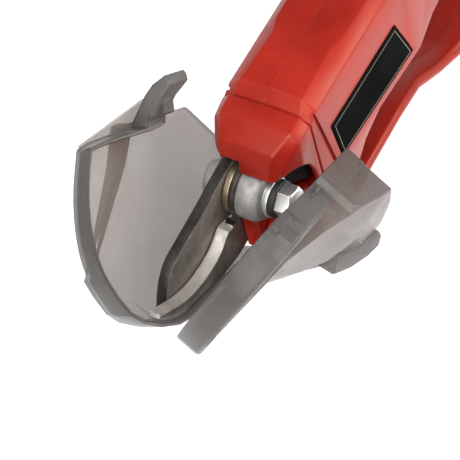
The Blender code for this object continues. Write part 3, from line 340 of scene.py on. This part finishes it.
class Finish(Enum):
    """Every finish on the tool."""

    RED = Moulded(dark=(0.28, 0.011, 0.0062), light=(0.37, 0.0165, 0.0088), roughness=0.36, gloss=0.4,
                  tint=(1.0, 0.78, 0.58))
    BLACK = Moulded(dark=(0.012, 0.012, 0.013), light=(0.024, 0.024, 0.026), roughness=0.5)
    LABEL = Moulded(dark=(0.006, 0.006, 0.006), light=(0.010, 0.010, 0.010), roughness=0.6, grain=3000.0,
                    depth=0.00001, gloss=0.0)
    GOLD = Moulded(dark=(0.16, 0.13, 0.085), light=(0.24, 0.20, 0.14), roughness=0.4)
    BOARD = Moulded(dark=(0.012, 0.09, 0.03), light=(0.03, 0.15, 0.06), roughness=0.5)
    CELL = Moulded(dark=(0.02, 0.07, 0.2), light=(0.04, 0.11, 0.28), roughness=0.35)
    GUARD = Smoke(dark=(0.20, 0.155, 0.128), light=(0.26, 0.21, 0.178), opacity=0.56, roughness=0.22,
                  gloss=0.4)
    NEAR_GUARD = Smoke(dark=(0.10, 0.078, 0.069), light=(0.14, 0.112, 0.10), opacity=0.8, roughness=0.26,
                       gloss=0.22)
    RIM = Smoke(dark=(0.072, 0.067, 0.062), light=(0.11, 0.103, 0.096), opacity=0.84, roughness=0.3,
                gloss=0.25)
    EDGE = Smoke(dark=(0.045, 0.041, 0.037), light=(0.078, 0.072, 0.066), opacity=0.7, roughness=0.3,
                 gloss=0.25)
    CAST = Metal(dark=(0.26, 0.25, 0.24), light=(0.47, 0.46, 0.44), roughness=0.5, scale=420.0, depth=0.00004,
                 pitting=0.00003, metallic=0.55)
    ZINC = Metal(dark=(0.34, 0.33, 0.32), light=(0.47, 0.46, 0.445), roughness=0.42, marks=(1.0, 0.2, 1.0),
                 scale=700.0, metallic=0.8)
    BLADE = Metal(dark=(0.030, 0.026, 0.023), light=(0.075, 0.066, 0.058), roughness=0.42,
                  marks=(6.0, 1.0, 0.6), scale=420.0, metallic=0.6, turn=STROKE_TURN)
    FLANK = Metal(dark=(0.24, 0.21, 0.182), light=(0.4, 0.36, 0.32), roughness=0.45,
                  marks=(4.0, 1.0, 0.5), scale=300.0, metallic=0.6, turn=STROKE_TURN)
    HOOK_FLANK = Metal(dark=(0.14, 0.12, 0.102), light=(0.26, 0.226, 0.196), roughness=0.45,
                       marks=(4.0, 1.0, 0.5), scale=300.0, metallic=0.6, turn=STROKE_TURN)
    GROUND = Metal(dark=(0.38, 0.35, 0.315), light=(0.55, 0.52, 0.475), roughness=0.5, marks=(0.4, 3.0, 0.4),
                   scale=1200.0, metallic=0.4)
    BRONZE = Metal(dark=(0.16, 0.13, 0.10), light=(0.34, 0.28, 0.22), roughness=0.36, marks=(1.0, 0.3, 1.0))
    COPPER = Metal(dark=(0.45, 0.2, 0.1), light=(0.62, 0.31, 0.17), roughness=0.35)

    def material(self) -> bpy.types.Material:
        """Make the material, or find it where it is made already.

        Returns:
            The material, named after the finish.
        """
        name = self.name.lower()
        found = bpy.data.materials.get(name)
        if found:
            return found
        graph = ShaderGraph(name)
        self.value.shade(graph)
        return graph.material


# Geometry helpers

def linked(name: str, data: bpy.types.ID) -> bpy.types.Object:
    """Make an object and link it into the scene.

    Args:
        name: The object's name.
        data: Its mesh, lamp or camera.

    Returns:
        The object.
    """
    thing = bpy.data.objects.new(name, data)
    bpy.context.scene.collection.objects.link(thing)
    return thing


def mesh_piece(name: str, vertices: np.ndarray, faces: Sequence[Sequence[int]]) -> bpy.types.Object:
    """Make an object from arrays.

    Args:
        name: The piece's name.
        vertices: Points, one row each, in metres.
        faces: Rows of point numbers.

    Returns:
        The linked object with outward faces.
    """
    mesh = bpy.data.meshes.new(name)
    mesh.from_pydata(vertices.reshape(-1, 3).tolist(), [], [list(map(int, face)) for face in faces])
    bm = bmesh.new()
    bm.from_mesh(mesh)
    bmesh.ops.remove_doubles(bm, verts=bm.verts, dist=NEW_MERGE)
    bmesh.ops.recalc_face_normals(bm, faces=bm.faces)
    bm.to_mesh(mesh)
    bm.free()
    mesh.shade_smooth()
    mesh.set_sharp_from_angle(angle=SMOOTH_ANGLE)
    return linked(name, mesh)


def grid_faces(rows: int, columns: int, wrap_rows: bool = True) -> np.ndarray:
    """Number the quads of a grid of points whose last column meets the first.

    The quad at row i and column j reaches to row i + 1 and column j + 1, which is row or column 0 at the end.

    Args:
        rows: Points along the first way.
        columns: Points along the second way.
        wrap_rows: Whether the last row meets the first.

    Returns:
        Four point numbers for each quad.
    """
    i = np.arange(rows if wrap_rows else rows - 1)[:, None]
    j = np.arange(columns)[None, :]
    row, next_row = i * columns, (i + 1) % rows * columns
    next_j = (j + 1) % columns
    return np.stack([row + j, next_row + j, next_row + next_j, row + next_j], -1).reshape(-1, 4)


def rounded_profile(points: Sequence[tuple[float, float]], radius: float, steps: int = 5) -> np.ndarray:
    """Round the corners of a closed profile.

    Each corner becomes a quadratic curve from one of its sides to the other, drawn towards the corner.

    Args:
        points: Corners as (radius, height) in millimetres.
        radius: Longest reach of a rounding along a side, in millimetres.
        steps: Points on each rounding.

    Returns:
        The rounded profile.
    """
    corners = np.asarray(points)
    before = np.roll(corners, 1, 0) - corners
    after = np.roll(corners, -1, 0) - corners
    long_before = np.linalg.norm(before, axis=1)[:, None]
    long_after = np.linalg.norm(after, axis=1)[:, None]
    reach = np.minimum(radius, CORNER_SHARE * np.minimum(long_before, long_after))
    start = corners + before / long_before * reach
    end = corners + after / long_after * reach
    t = np.linspace(0, 1, steps)[None, :, None]
    curve = (1 - t) ** 2 * start[:, None] + 2 * t * (1 - t) * corners[:, None] + t ** 2 * end[:, None]
    return curve.reshape(-1, 2)


def turned_ring(name: str, profile: np.ndarray, segments: int = 96) -> bpy.types.Object:
    """Turn a closed profile round the pivot's axis: point (r, h) at angle a lies at r cos a, h, r sin a.

    Args:
        name: The piece's name.
        profile: Closed loop of (radius, height) in millimetres.
        segments: Number of steps round.

    Returns:
        The piece.
    """
    angle = np.linspace(0, 2 * np.pi, segments, endpoint=False)[:, None]
    radius, height = profile[:, 0], profile[:, 1]
    points = np.stack([radius * np.cos(angle), height + 0 * angle, radius * np.sin(angle)], -1)
    return mesh_piece(name, points * MM + PIVOT, grid_faces(segments, len(profile)))


def side_room(edge: bmesh.types.BMEdge) -> float:
    """Find the room beside an edge: the least reach, square to it, of the edges at its two ends.

    Args:
        edge: The edge.

    Returns:
        The room in metres.
    """
    room = 1.0
    for corner in edge.verts:
        way = (edge.other_vert(corner).co - corner.co).normalized()
        for other in corner.link_edges:
            lead = other.other_vert(corner).co - corner.co
            reach = way.cross(lead).length
            if reach > LEADING_AWAY * lead.length:
                room = min(room, reach)
    return room


def read_rows(items: bpy.types.bpy_prop_collection, name: str, width: int, kind: type = float) -> np.ndarray:
    """Read one property of mesh items.

    Args:
        items: Vertices, edges, faces or an attribute's values.
        name: The property's name.
        width: Numbers to an item.
        kind: Type of the numbers.

    Returns:
        One row for each item.
    """
    values = np.empty(len(items) * width, kind)
    items.foreach_get(name, values)
    return values.reshape(-1, width)


def settle(piece: bpy.types.Object, node: str, limit: float) -> None:
    """Take the rounding off edges beside points that it throws too far from the CAD surface.

    Args:
        piece: The piece with its rounding.
        node: The node that it copies.
        limit: Longest distance allowed, in metres.
    """
    source, mesh = NODES[node].data, piece.data
    places = [corner.co for corner in source.vertices]
    surface = BVHTree.FromPolygons(places, [tuple(face.vertices) for face in source.polygons])
    corners = KDTree(len(mesh.vertices))
    for corner in mesh.vertices:
        corners.insert(corner.co, corner.index)
    corners.balance()
    ends = read_rows(mesh.edges, "vertices", 2, np.int32)
    weights = read_rows(mesh.attributes[ROUNDING_LAYER].data, "value", 1)[:, 0]
    for _ in range(SETTLE_ROUNDS):
        bpy.context.view_layer.update()
        shaped = piece.evaluated_get(bpy.context.evaluated_depsgraph_get())
        shape = shaped.to_mesh()
        points = read_rows(shape.vertices, "co", 3)
        links = read_rows(shape.edges, "vertices", 2, np.int32)
        shaped.to_mesh_clear()
        stray = np.array([surface.find_nearest(point)[3] for point in points]) > limit
        if not stray.any():
            return
        touching = links[stray[links].any(1)]
        beside = np.unique(touching[~stray[touching]])
        found = list({corners.find(points[number])[1] for number in beside})
        weights[np.isin(ends, found).any(1)] = 0.0
        mesh.attributes[ROUNDING_LAYER].data.foreach_set("value", weights)
        mesh.update()


def keep_creases(mesh: bpy.types.Mesh, angle: float) -> None:
    """Mark the sharp edges that get no rounding, so that the shading doesn't run smoothly across them.

    Args:
        mesh: The mesh with its rounding weights.
        angle: Least angle between faces at a sharp edge, in degrees.
    """
    bm = bmesh.new()
    bm.from_mesh(mesh)
    weight = bm.edges.layers.float[ROUNDING_LAYER]
    for edge in bm.edges:
        edge.smooth = edge[weight] > LEAST_ROUNDING or edge.calc_face_angle(0.0) < math.radians(angle)
    bm.to_mesh(mesh)
    bm.free()


def softened(node: str, width: float, angle: float = 30.0, segments: int = 3,
             edge_slot: int = -1) -> bpy.types.Object:
    """Copy a CAD node and round its sharp edges, those on the parting plane of the halves only a little.

    The triangles are merged into flat faces first, and a hollow outline is cut into full ones.

    Args:
        node: The node to copy.
        width: Width of the rounding in millimetres.
        angle: Least angle between faces at a rounded edge, in degrees.
        segments: Steps across the rounding.
        edge_slot: Number of the finish that the roundings take, or -1 for that of the faces beside them.

    Returns:
        The copy, named after the node.
    """
    mesh = NODES[node].data.copy()
    piece = linked(f"{node}_skin", mesh)
    bm = bmesh.new()
    bm.from_mesh(mesh)
    bmesh.ops.remove_doubles(bm, verts=bm.verts, dist=COPY_MERGE)
    bmesh.ops.dissolve_limit(bm, angle_limit=FLAT_ANGLE, verts=bm.verts, edges=bm.edges)
    bmesh.ops.connect_verts_concave(bm, faces=bm.faces)
    weight = bm.edges.layers.float.new(ROUNDING_LAYER)
    for edge in bm.edges:
        parting = max(abs(corner.co.y) for corner in edge.verts) < PARTING_REACH
        sharp = edge.calc_face_angle(0.0) > math.radians(angle)
        most = PARTING_SHARE if parting else 1.0
        edge[weight] = sharp * min(most, ROOM_SHARE * side_room(edge) / (width * MM))
    bm.to_mesh(mesh)
    bm.free()
    mesh.shade_smooth()
    bevel = piece.modifiers.new("edges", "BEVEL")
    bevel.width = width * MM
    bevel.segments = segments
    bevel.limit_method = "WEIGHT"
    bevel.use_clamp_overlap = False
    bevel.harden_normals = True
    bevel.material = edge_slot
    settle(piece, node, STRAY_SHARE * width * MM)
    keep_creases(mesh, angle)
    return piece


def face_data(piece: bpy.types.Object) -> tuple[np.ndarray, np.ndarray]:
    """Read a piece's faces.

    Args:
        piece: The piece.

    Returns:
        Middle and normal of each face, one row each.
    """
    polygons = piece.data.polygons
    return read_rows(polygons, "center", 3), read_rows(polygons, "normal", 3)


def extra_finish(piece: bpy.types.Object, finish: Finish, chosen: np.ndarray) -> None:
    """Give some faces of a dressed piece another finish.

    Args:
        piece: The piece.
        finish: The other finish.
        chosen: True for each face that takes it.
    """
    polygons = piece.data.polygons
    slots = read_rows(polygons, "material_index", 1, np.int32)[:, 0]
    piece.data.materials.append(finish.material())
    slots[chosen] = len(piece.data.materials) - 1
    polygons.foreach_set("material_index", slots)


def coat(piece: bpy.types.Object, finish: Finish) -> None:
    """Give a piece one finish in place of those that it has."""
    piece.data.materials.clear()
    piece.data.materials.append(finish.material())


def dress(piece: bpy.types.Object, finish: Finish, body: Body, slot: str, *nodes: str) -> bpy.types.Object:
    """Give a piece its finish, let it ride on its body and hide the nodes that it stands for.

    Args:
        piece: The piece.
        finish: Its finish.
        body: The body that it moves with.
        slot: The record's material slot of its finish; not used.
        nodes: CAD nodes that it replaces.

    Returns:
        The piece.
    """
    coat(piece, finish)
    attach(piece, body.value)
    if nodes:
        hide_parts(*nodes)
    LOG.info("%s on %s", piece.name, body.value)
    return piece


# Sub-assemblies

@dataclass
class Housing:
    """Body halves with the lip in their seam, nose cover, and the left side's plate with its thin line."""

    # Sizes are millimetres, and the plate's corners and the line's faces are measured from the pivot.
    rounding: float = 0.9
    sharp_angle: float = 22.0
    plate_rounding: float = 0.2
    lip_inset: float = 0.35
    lip_thickness: float = 0.24
    plate: tuple[tuple[float, float], ...] = ((-33.0, 10.6), (-87.0, 10.6), (-92.6, -8.0), (-94.3, -14.4),
                                              (-35.4, -11.4))
    line_inset: float = 1.5
    line_width: float = 0.28
    line_faces: tuple[float, float] = (20.5, 20.64)

    def build(self) -> None:
        """Make and dress the mouldings."""
        for node in ("housing_left", "housing_right", "nose_cover"):
            rounded = softened(node, self.rounding, self.sharp_angle)
            dress(rounded, Finish.RED, Body.TOOL, "red_plastic", node)
        plate = softened("label_plate", self.plate_rounding)
        dress(plate, Finish.LABEL, Body.TOOL, "black_plastic", "label_plate")
        dress(self.lip(), Finish.RED, Body.TOOL, "red_plastic")
        dress(self.border(), Finish.GOLD, Body.TOOL, "bronze")

    def lip(self) -> bpy.types.Object:
        """Make the lip inside the seam from the left half's parting faces.

        Each of their triangles is drawn in on its own, set under the parting plane and raised through it.

        Returns:
            The lip, half of its thickness on each side of the parting plane.
        """
        bm = bmesh.new()
        bm.from_mesh(NODES["housing_left"].data)
        bmesh.ops.dissolve_limit(bm, angle_limit=FLAT_ANGLE, verts=bm.verts, edges=bm.edges)
        outside = [face for face in bm.faces if max(abs(v.co.y) for v in face.verts) > PARTING_REACH]
        bmesh.ops.delete(bm, geom=outside, context="FACES")
        inset = bmesh.ops.inset_region(bm, faces=bm.faces, thickness=self.lip_inset * MM, use_boundary=True)
        bmesh.ops.delete(bm, geom=inset["faces"], context="FACES")
        for corner in bm.verts:
            corner.co.y = -self.lip_thickness / 2 * MM
        grown = bmesh.ops.extrude_face_region(bm, geom=bm.faces[:])["geom"]
        lifted = [part for part in grown if isinstance(part, bmesh.types.BMVert)]
        bmesh.ops.translate(bm, vec=(0.0, self.lip_thickness * MM, 0.0), verts=lifted)
        bmesh.ops.recalc_face_normals(bm, faces=bm.faces)
        mesh = bpy.data.meshes.new("housing_lip")
        bm.to_mesh(mesh)
        bm.free()
        return linked("housing_lip", mesh)

    def border(self) -> bpy.types.Object:
        """Make the thin line inside the plate's edge.

        Each corner moves in along the mean of its two sides' normals, so far that both sides move in evenly.

        Returns:
            The line, a flat strip that stands a little proud of the plate.
        """
        corners = np.array(self.plate)
        sides = np.roll(corners, -1, 0) - corners
        sides /= np.linalg.norm(sides, axis=1)[:, None]
        after = np.stack([-sides[:, 1], sides[:, 0]], -1)
        before = np.roll(after, 1, 0)
        middle = before + after
        middle /= np.linalg.norm(middle, axis=1)[:, None]
        reach = 1.0 / (middle * before).sum(1)[:, None]
        outer = corners + middle * reach * self.line_inset
        inner = corners + middle * reach * (self.line_inset + self.line_width)
        under, proud = self.line_faces
        section = ((outer, under), (outer, proud), (inner, proud), (inner, under))
        points = np.stack([np.insert(loop, 1, height, axis=1) for loop, height in section], 1)
        return mesh_piece("plate_line", points * MM + PIVOT, grid_faces(len(corners), len(section)))


@dataclass
class PivotStack:
    """Boss, rings, washers and bolt on the blade pivot."""

    # Sizes are millimetres; outside the bare radius the casting is red below the foot's top, and black above.
    case_rounding: float = 0.5
    small_rounding: float = 0.35
    bare_radius: float = 12.6
    foot_top: float = -8.0
    rings: tuple[tuple[str, float, Finish, str], ...] = (
        # node, radius of its hole, finish, slot
        ("pivot_spacer", 6.8, Finish.BRONZE, "bronze"),
        ("pivot_washer", 4.5, Finish.ZINC, "zinc"),
        ("lock_washer", 4.5, Finish.BLACK, "black_plastic"))

    def build(self) -> None:
        """Make and dress the metal; each ring is turned from the box of the node that it replaces."""
        rounded = softened("gear_case", self.case_rounding)
        case = dress(rounded, Finish.CAST, Body.TOOL, "cast_metal", "gear_case")
        middles = face_data(case)[0] - PIVOT
        away = np.hypot(middles[:, 0], middles[:, 2]) > self.bare_radius * MM
        foot = middles[:, 2] < self.foot_top * MM
        extra_finish(case, Finish.RED, away & foot)
        extra_finish(case, Finish.BLACK, away & ~foot)
        bolt = softened("pivot_bolt", self.small_rounding)
        dress(bolt, Finish.ZINC, Body.TOOL, "zinc", "pivot_bolt")
        for node, hole, finish, slot in self.rings:
            low, high = (np.array(corner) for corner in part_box(node))
            outer = (high[0] - low[0]) / 2 / MM
            start, end = (low[1] - PIVOT[1]) / MM, (high[1] - PIVOT[1]) / MM
            corners = [(hole, start), (outer, start), (outer, end), (hole, end)]
            profile = rounded_profile(corners, self.small_rounding)
            dress(turned_ring(f"{node}_skin", profile), finish, Body.TOOL, slot, node)


@dataclass
class Blades:
    """Hook blade and moving blade."""

    # Sizes are millimetres; the shares are the least of a normal that points sideways, and up or down.
    rounding: float = 0.25
    flank_share: float = 0.93
    ground_share: float = 0.2
    ground_start: float = 11.5
    hub_radius: float = 15.5
    blades: tuple[tuple[str, Body, float, Finish], ...] = (
        # node, body, way that its ground faces look along z, finish of its flanks
        ("hook_blade", Body.TOOL, 1.0, Finish.HOOK_FLANK),
        ("cutting_blade", Body.CUTTER, -1.0, Finish.FLANK))

    def build(self) -> None:
        """Make and dress the blades; only faces ahead of the hub are ground."""
        for node, body, way, flank in self.blades:
            piece = dress(softened(node, self.rounding), Finish.BLADE, body, "blade_steel", node)
            middles, normals = face_data(piece)
            side = np.abs(normals[:, 1])
            extra_finish(piece, flank, side > self.flank_share)
            offsets = (middles - PIVOT) / MM
            from_pivot = np.hypot(offsets[:, 0], offsets[:, 2])
            ahead = (offsets[:, 0] > self.ground_start) & (from_pivot > self.hub_radius)
            ground = (way * normals[:, 2] > self.ground_share) & (side < self.flank_share)
            extra_finish(piece, Finish.GROUND, ahead & ground)


@dataclass
class Guards:
    """The two see-through guard halves."""

    halves: tuple[tuple[str, Body, float, Finish], ...] = (
        # node, body, degrees that it is turned open at rest, finish
        ("guard_left", Body.LEFT_GUARD, -31.0, Finish.NEAR_GUARD),
        ("guard_right", Body.RIGHT_GUARD, 20.0, Finish.GUARD))

    # The hinge's direction, and a point on it in millimetres from the pivot.
    hinge: Triple = (0.94721, 0.0, 0.32061)
    hinge_point: Triple = (1.3, 0.0, -35.5)

    # Millimetres along the hinge, out from the parting plane and up from the hinge; the angle in degrees.
    rounding: float = 0.6
    sharp_angle: float = 16.0
    rim_share: float = 0.5
    rim_start: float = 27.0
    band_depth: float = 9.5
    paddle_depth: float = 28.9
    catch_end: float = 50.0
    catch_line: tuple[float, float] = (65.0, 0.368)

    # The fin's lower and upper line, its depth with the change of that along and up, and its wall.
    fin_foot: tuple[tuple[float, float], ...] = ((79.0, 93.0), (62.0, 87.6), (42.0, 79.8), (29.0, 76.4))
    fin_top: tuple[tuple[float, float], ...] = ((80.0, 94.4), (62.0, 91.2), (42.0, 87.8), (29.0, 85.6))
    fin_depth: Triple = (18.5, -0.0563, -0.0635)
    fin_wall: float = 1.5

    def build(self) -> None:
        """Make and dress the halves; faces square to the parting plane are the thicker, darker rim.

        The near half's roundings have the rim's finish, and the far half's one of their own.
        """
        start, slope = self.catch_line
        for node, body, turn, finish in self.halves:
            far = turn > 0.0
            rounded = softened(node, self.rounding, self.sharp_angle, edge_slot=2 if far else 1)
            piece = dress(rounded, finish, body, "smoke_plastic", node)
            middles, normals = face_data(piece)
            offsets = (middles - PIVOT) / MM - self.hinge_point
            across = self.turned(np.array([0.0, 1.0, 0.0]), turn)
            along, depth = offsets @ self.hinge, offsets @ across
            height = offsets @ np.cross(self.hinge, across)
            square = np.abs(normals @ across) < self.rim_share
            rim = square & (along > self.rim_start) & (depth < self.band_depth)
            catch = far & (height > start + slope * along) & (along < self.catch_end)
            extra_finish(piece, Finish.RIM, rim | catch | (depth > self.paddle_depth))
            if far:
                piece.data.materials.append(Finish.EDGE.material())
        dress(self.fin(), Finish.GUARD, Body.RIGHT_GUARD, "smoke_plastic")

    def turned(self, points: np.ndarray, angle: float) -> np.ndarray:
        """Turn points about the hinge's direction by an angle in degrees."""
        turn = np.array(Matrix.Rotation(math.radians(angle), 3, Vector(self.hinge)))
        return points @ turn.T

    def fin(self) -> bpy.types.Object:
        """Make the raised top edge of the right half's outer wall.

        It is drawn as with the half closed: its depth falls off evenly along and up, and then it turns open.

        Returns:
            The fin, a closed strip with two rows of points on each of its faces.
        """
        foot, top = np.array(self.fin_foot), np.array(self.fin_top)
        depth, per_along, per_up = self.fin_depth
        loops = []
        for line, wall in ((foot, 0.0), (top, 0.0), (top, self.fin_wall), (foot, self.fin_wall)):
            out = depth + per_along * line[:, 0] + per_up * line[:, 1] - wall
            loops.append(np.stack([line[:, 0], -out, line[:, 1]], -1))
        rows, columns = len(foot), len(loops)
        ahead, _, rise = self.hinge
        axes = np.array([self.hinge, (0.0, 1.0, 0.0), (-rise, 0.0, ahead)])
        closed = np.stack(loops, 1).reshape(-1, 3) @ axes
        points = self.turned(closed, self.halves[1][2]) + self.hinge_point
        ends = np.arange(rows * columns).reshape(rows, columns)[[0, -1]]
        faces = [*grid_faces(rows, columns, wrap_rows=False), *ends]
        return mesh_piece("guard_right_fin", points * MM + PIVOT, faces)


@dataclass
class Controls:
    """Trigger, lock bolt, battery cases and release button."""

    parts: tuple[tuple[str, float, Finish, Body, str], ...] = (
        # node, rounding in millimetres, finish, body, slot
        ("trigger", 0.5, Finish.BLACK, Body.TRIGGER, "black_plastic"),
        ("lock_off_bolt", 0.4, Finish.BLACK, Body.LOCK, "black_plastic"),
        ("battery_case_lower", 1.0, Finish.BLACK, Body.BATTERY, "black_plastic"),
        ("battery_case_upper", 1.0, Finish.BLACK, Body.BATTERY, "black_plastic"),
        ("battery_release_button", 0.3, Finish.RED, Body.BUTTON, "red_plastic"))

    def build(self) -> None:
        """Make and dress the parts."""
        for node, width, finish, body, slot in self.parts:
            dress(softened(node, width), finish, body, slot, node)


@dataclass
class Springs:
    """Trigger spring and button spring."""

    rows: tuple[tuple[str, Body, str, Triple, Triple, float], ...] = (
        # node, body it rides on, joint, axis, fixed end in metres, share of its length left
        ("trigger_spring", Body.TOOL, "trigger_press", (0.0, 0.0, 1.0), (0.120, 0.0, 0.068), 0.55),
        ("release_spring", Body.BATTERY, "release_button_press", (1.0, 0.0, 0.0), (-0.0318, 0.0, 0.0437),
         0.36))

    def build(self) -> None:
        """Copy each spring and dress it."""
        for node, body, joint, axis, fixed, share in self.rows:
            piece = linked(f"{node}_skin", NODES[node].data.copy())
            dress(piece, Finish.ZINC, body, "zinc", node)
            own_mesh(piece)


@dataclass
class Inside:
    """Nodes that keep their CAD shape."""

    finishes: dict[str, Finish] = field(default_factory=lambda: {
        "red_plastic": Finish.RED, "black_plastic": Finish.BLACK, "smoke_plastic": Finish.GUARD,
        "cast_metal": Finish.CAST, "zinc": Finish.ZINC, "bronze": Finish.BRONZE,
        "blade_steel": Finish.BLADE, "ground_steel": Finish.GROUND,
        "copper": Finish.COPPER, "contact_copper": Finish.COPPER,
        "board_green": Finish.BOARD, "cell_wrap": Finish.CELL})

    def build(self) -> None:
        """Give every node its finish by its slot."""
        for entry in FRAME["record"]["subparts"]:
            coat(NODES[entry["node"]], self.finishes[entry["material_slot"]])


@dataclass
class Studio:
    """Floor, lights, world and the camera at the photograph's angle."""

    # The camera's right and up, and where it looks: millimetres from the pivot, then shifted right and up.
    right: Triple = (-0.469, 0.868, -0.163)
    up: Triple = (-0.750, -0.294, 0.592)
    aim: Triple = (1.3, 0.0, -35.5)
    shift_right: float = -14.4
    shift_up: float = 6.0

    # Lens and sensor in millimetres; the width that the picture shows, and the clipping distances, in metres.
    lens: float = 1200.0
    sensor: float = 36.0
    frame_width: float = 0.184
    clip: tuple[float, float] = (0.05, 60.0)

    # Places and sides in metres, power in watts.
    lamps: tuple[tuple[str, Triple, float, float], ...] = (
        # name, place, side, power
        ("key", (0.75, 0.35, 1.25), 0.6, 11.0),
        ("side", (-0.45, 1.15, 0.62), 0.45, 9.0),
        ("front", (1.4, 0.15, 0.75), 0.6, 6.0),
        ("facet", (0.95, 1.1, 0.65), 0.5, 7.5))
    card_place: Triple = (-0.35, -0.45, 1.0)
    card_side: float = 0.9
    floor_side: float = 12.0
    floor_dark: Triple = (0.83, 0.83, 0.83)
    floor_light: Triple = (0.86, 0.86, 0.86)

    # Share of full white that the floor adds for the camera, and strength of the world's light on the object.
    floor_lift: float = 0.55
    ambient: float = 0.45

    def camera(self) -> None:
        """Place the camera square to the photograph's view, so far off that the width fills the lens."""
        right = Vector(self.right).normalized()
        up = Vector(self.up)
        up = (up - right * up.dot(right)).normalized()
        back = right.cross(up)
        distance = self.frame_width / 2 / (self.sensor / 2 / self.lens)
        shift = right * self.shift_right * MM + up * self.shift_up * MM
        centre = Vector(PIVOT) + Vector(self.aim) * MM + shift
        data = bpy.data.cameras.new("camera")
        data.lens = self.lens
        data.sensor_width = self.sensor
        data.clip_start, data.clip_end = self.clip
        camera = linked("camera", data)
        turn = Matrix((right, up, back)).transposed()
        camera.matrix_world = Matrix.Translation(centre + back * distance) @ turn.to_4x4()
        bpy.context.scene.camera = camera

    @staticmethod
    def hang(thing: bpy.types.Object, place: Triple) -> None:
        """Put a lamp or a card in its place, turned to the pivot."""
        thing.location = place
        thing.rotation_euler = (Vector(place) - Vector(PIVOT)).to_track_quat("Z", "Y").to_euler()

    def light(self, name: str, place: Triple, side: float, power: float) -> None:
        """Add a square soft light that faces the blades.

        Args:
            name: The light's name.
            place: Where it hangs, in metres.
            side: Length of its side in metres.
            power: Power in watts.
        """
        data = bpy.data.lights.new(name, "AREA")
        data.size = side
        data.energy = power
        lamp = linked(name, data)
        self.hang(lamp, place)
        lamp.visible_camera = False

    @staticmethod
    def sheet(name: str, side: float) -> bpy.types.Object:
        """Make a level square round the origin.

        Args:
            name: Its name.
            side: Length of its side in metres.

        Returns:
            The square.
        """
        corners = np.array([[-1, -1, 0], [1, -1, 0], [1, 1, 0], [-1, 1, 0]]) * side / 2
        square = mesh_piece(name, corners, [[0, 1, 2, 3]])
        return square

    def card(self) -> None:
        """Hang a dark square card that only reflections see."""
        card = self.sheet("dark_card", self.card_side)
        self.hang(card, self.card_place)
        coat(card, Finish.BLACK)
        card.visible_camera = card.visible_diffuse = card.visible_shadow = card.visible_transmission = False

    def floor(self) -> None:
        """Lay a wide pale floor that looks white to the camera where no shadow falls."""
        graph = ShaderGraph("studio_floor")
        cloud = graph.noise(graph.place, scale=1.5, detail=2.0)
        graph.feed(Base_Color=graph.ramp(cloud, (0.3, self.floor_dark), (0.7, self.floor_light)),
                   Emission_Strength=graph.spread(shown_rays(graph.tree), 0.0, self.floor_lift))
        graph.put(Roughness=0.8, Specular_IOR_Level=0.1, Emission_Color=(1.0, 1.0, 1.0, 1.0))
        plane = self.sheet("studio_floor", self.floor_side)
        plane.data.materials.append(graph.material)

    def world(self) -> None:
        """Light the scene evenly, and show white to the camera, to gloss and through clear pieces."""
        world = bpy.data.worlds.new("studio")
        world.use_nodes = True
        tree = world.node_tree
        background = tree.nodes["Background"]
        strength = tree.nodes.new("ShaderNodeMapRange")
        strength.inputs["To Min"].default_value = self.ambient
        strength.inputs["To Max"].default_value = 1.0
        tree.links.new(shown_rays(tree), strength.inputs["Value"])
        tree.links.new(strength.outputs["Result"], background.inputs["Strength"])
        background.inputs["Color"].default_value = (1.0, 1.0, 1.0, 1.0)
        bpy.context.scene.world = world

    def build(self) -> None:
        """Set the whole studio up."""
        self.camera()
        self.floor()
        self.world()
        for name, place, side, power in self.lamps:
            self.light(name, place, side, power)
        self.card()
        bpy.context.scene.view_settings.view_transform = "Standard"


def main() -> None:
    """Build every sub-assembly in order and the studio round it."""
    logging.basicConfig(level=logging.INFO, format="%(name)s: %(message)s")
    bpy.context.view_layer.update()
    for assembly in (Inside(), Housing(), PivotStack(), Blades(), Guards(), Controls(), Springs(), Studio()):
        assembly.build()
        LOG.info("%s built", type(assembly).__name__)


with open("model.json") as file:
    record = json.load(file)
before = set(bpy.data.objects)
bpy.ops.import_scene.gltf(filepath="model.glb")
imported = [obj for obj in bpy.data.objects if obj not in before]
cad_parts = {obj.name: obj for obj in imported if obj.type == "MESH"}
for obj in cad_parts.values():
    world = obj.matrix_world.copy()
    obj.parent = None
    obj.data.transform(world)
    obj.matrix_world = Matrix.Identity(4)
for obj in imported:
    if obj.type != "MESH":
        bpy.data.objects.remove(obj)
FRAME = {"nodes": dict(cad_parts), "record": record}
NODES = FRAME["nodes"]

if __name__ == "__main__":
    main()
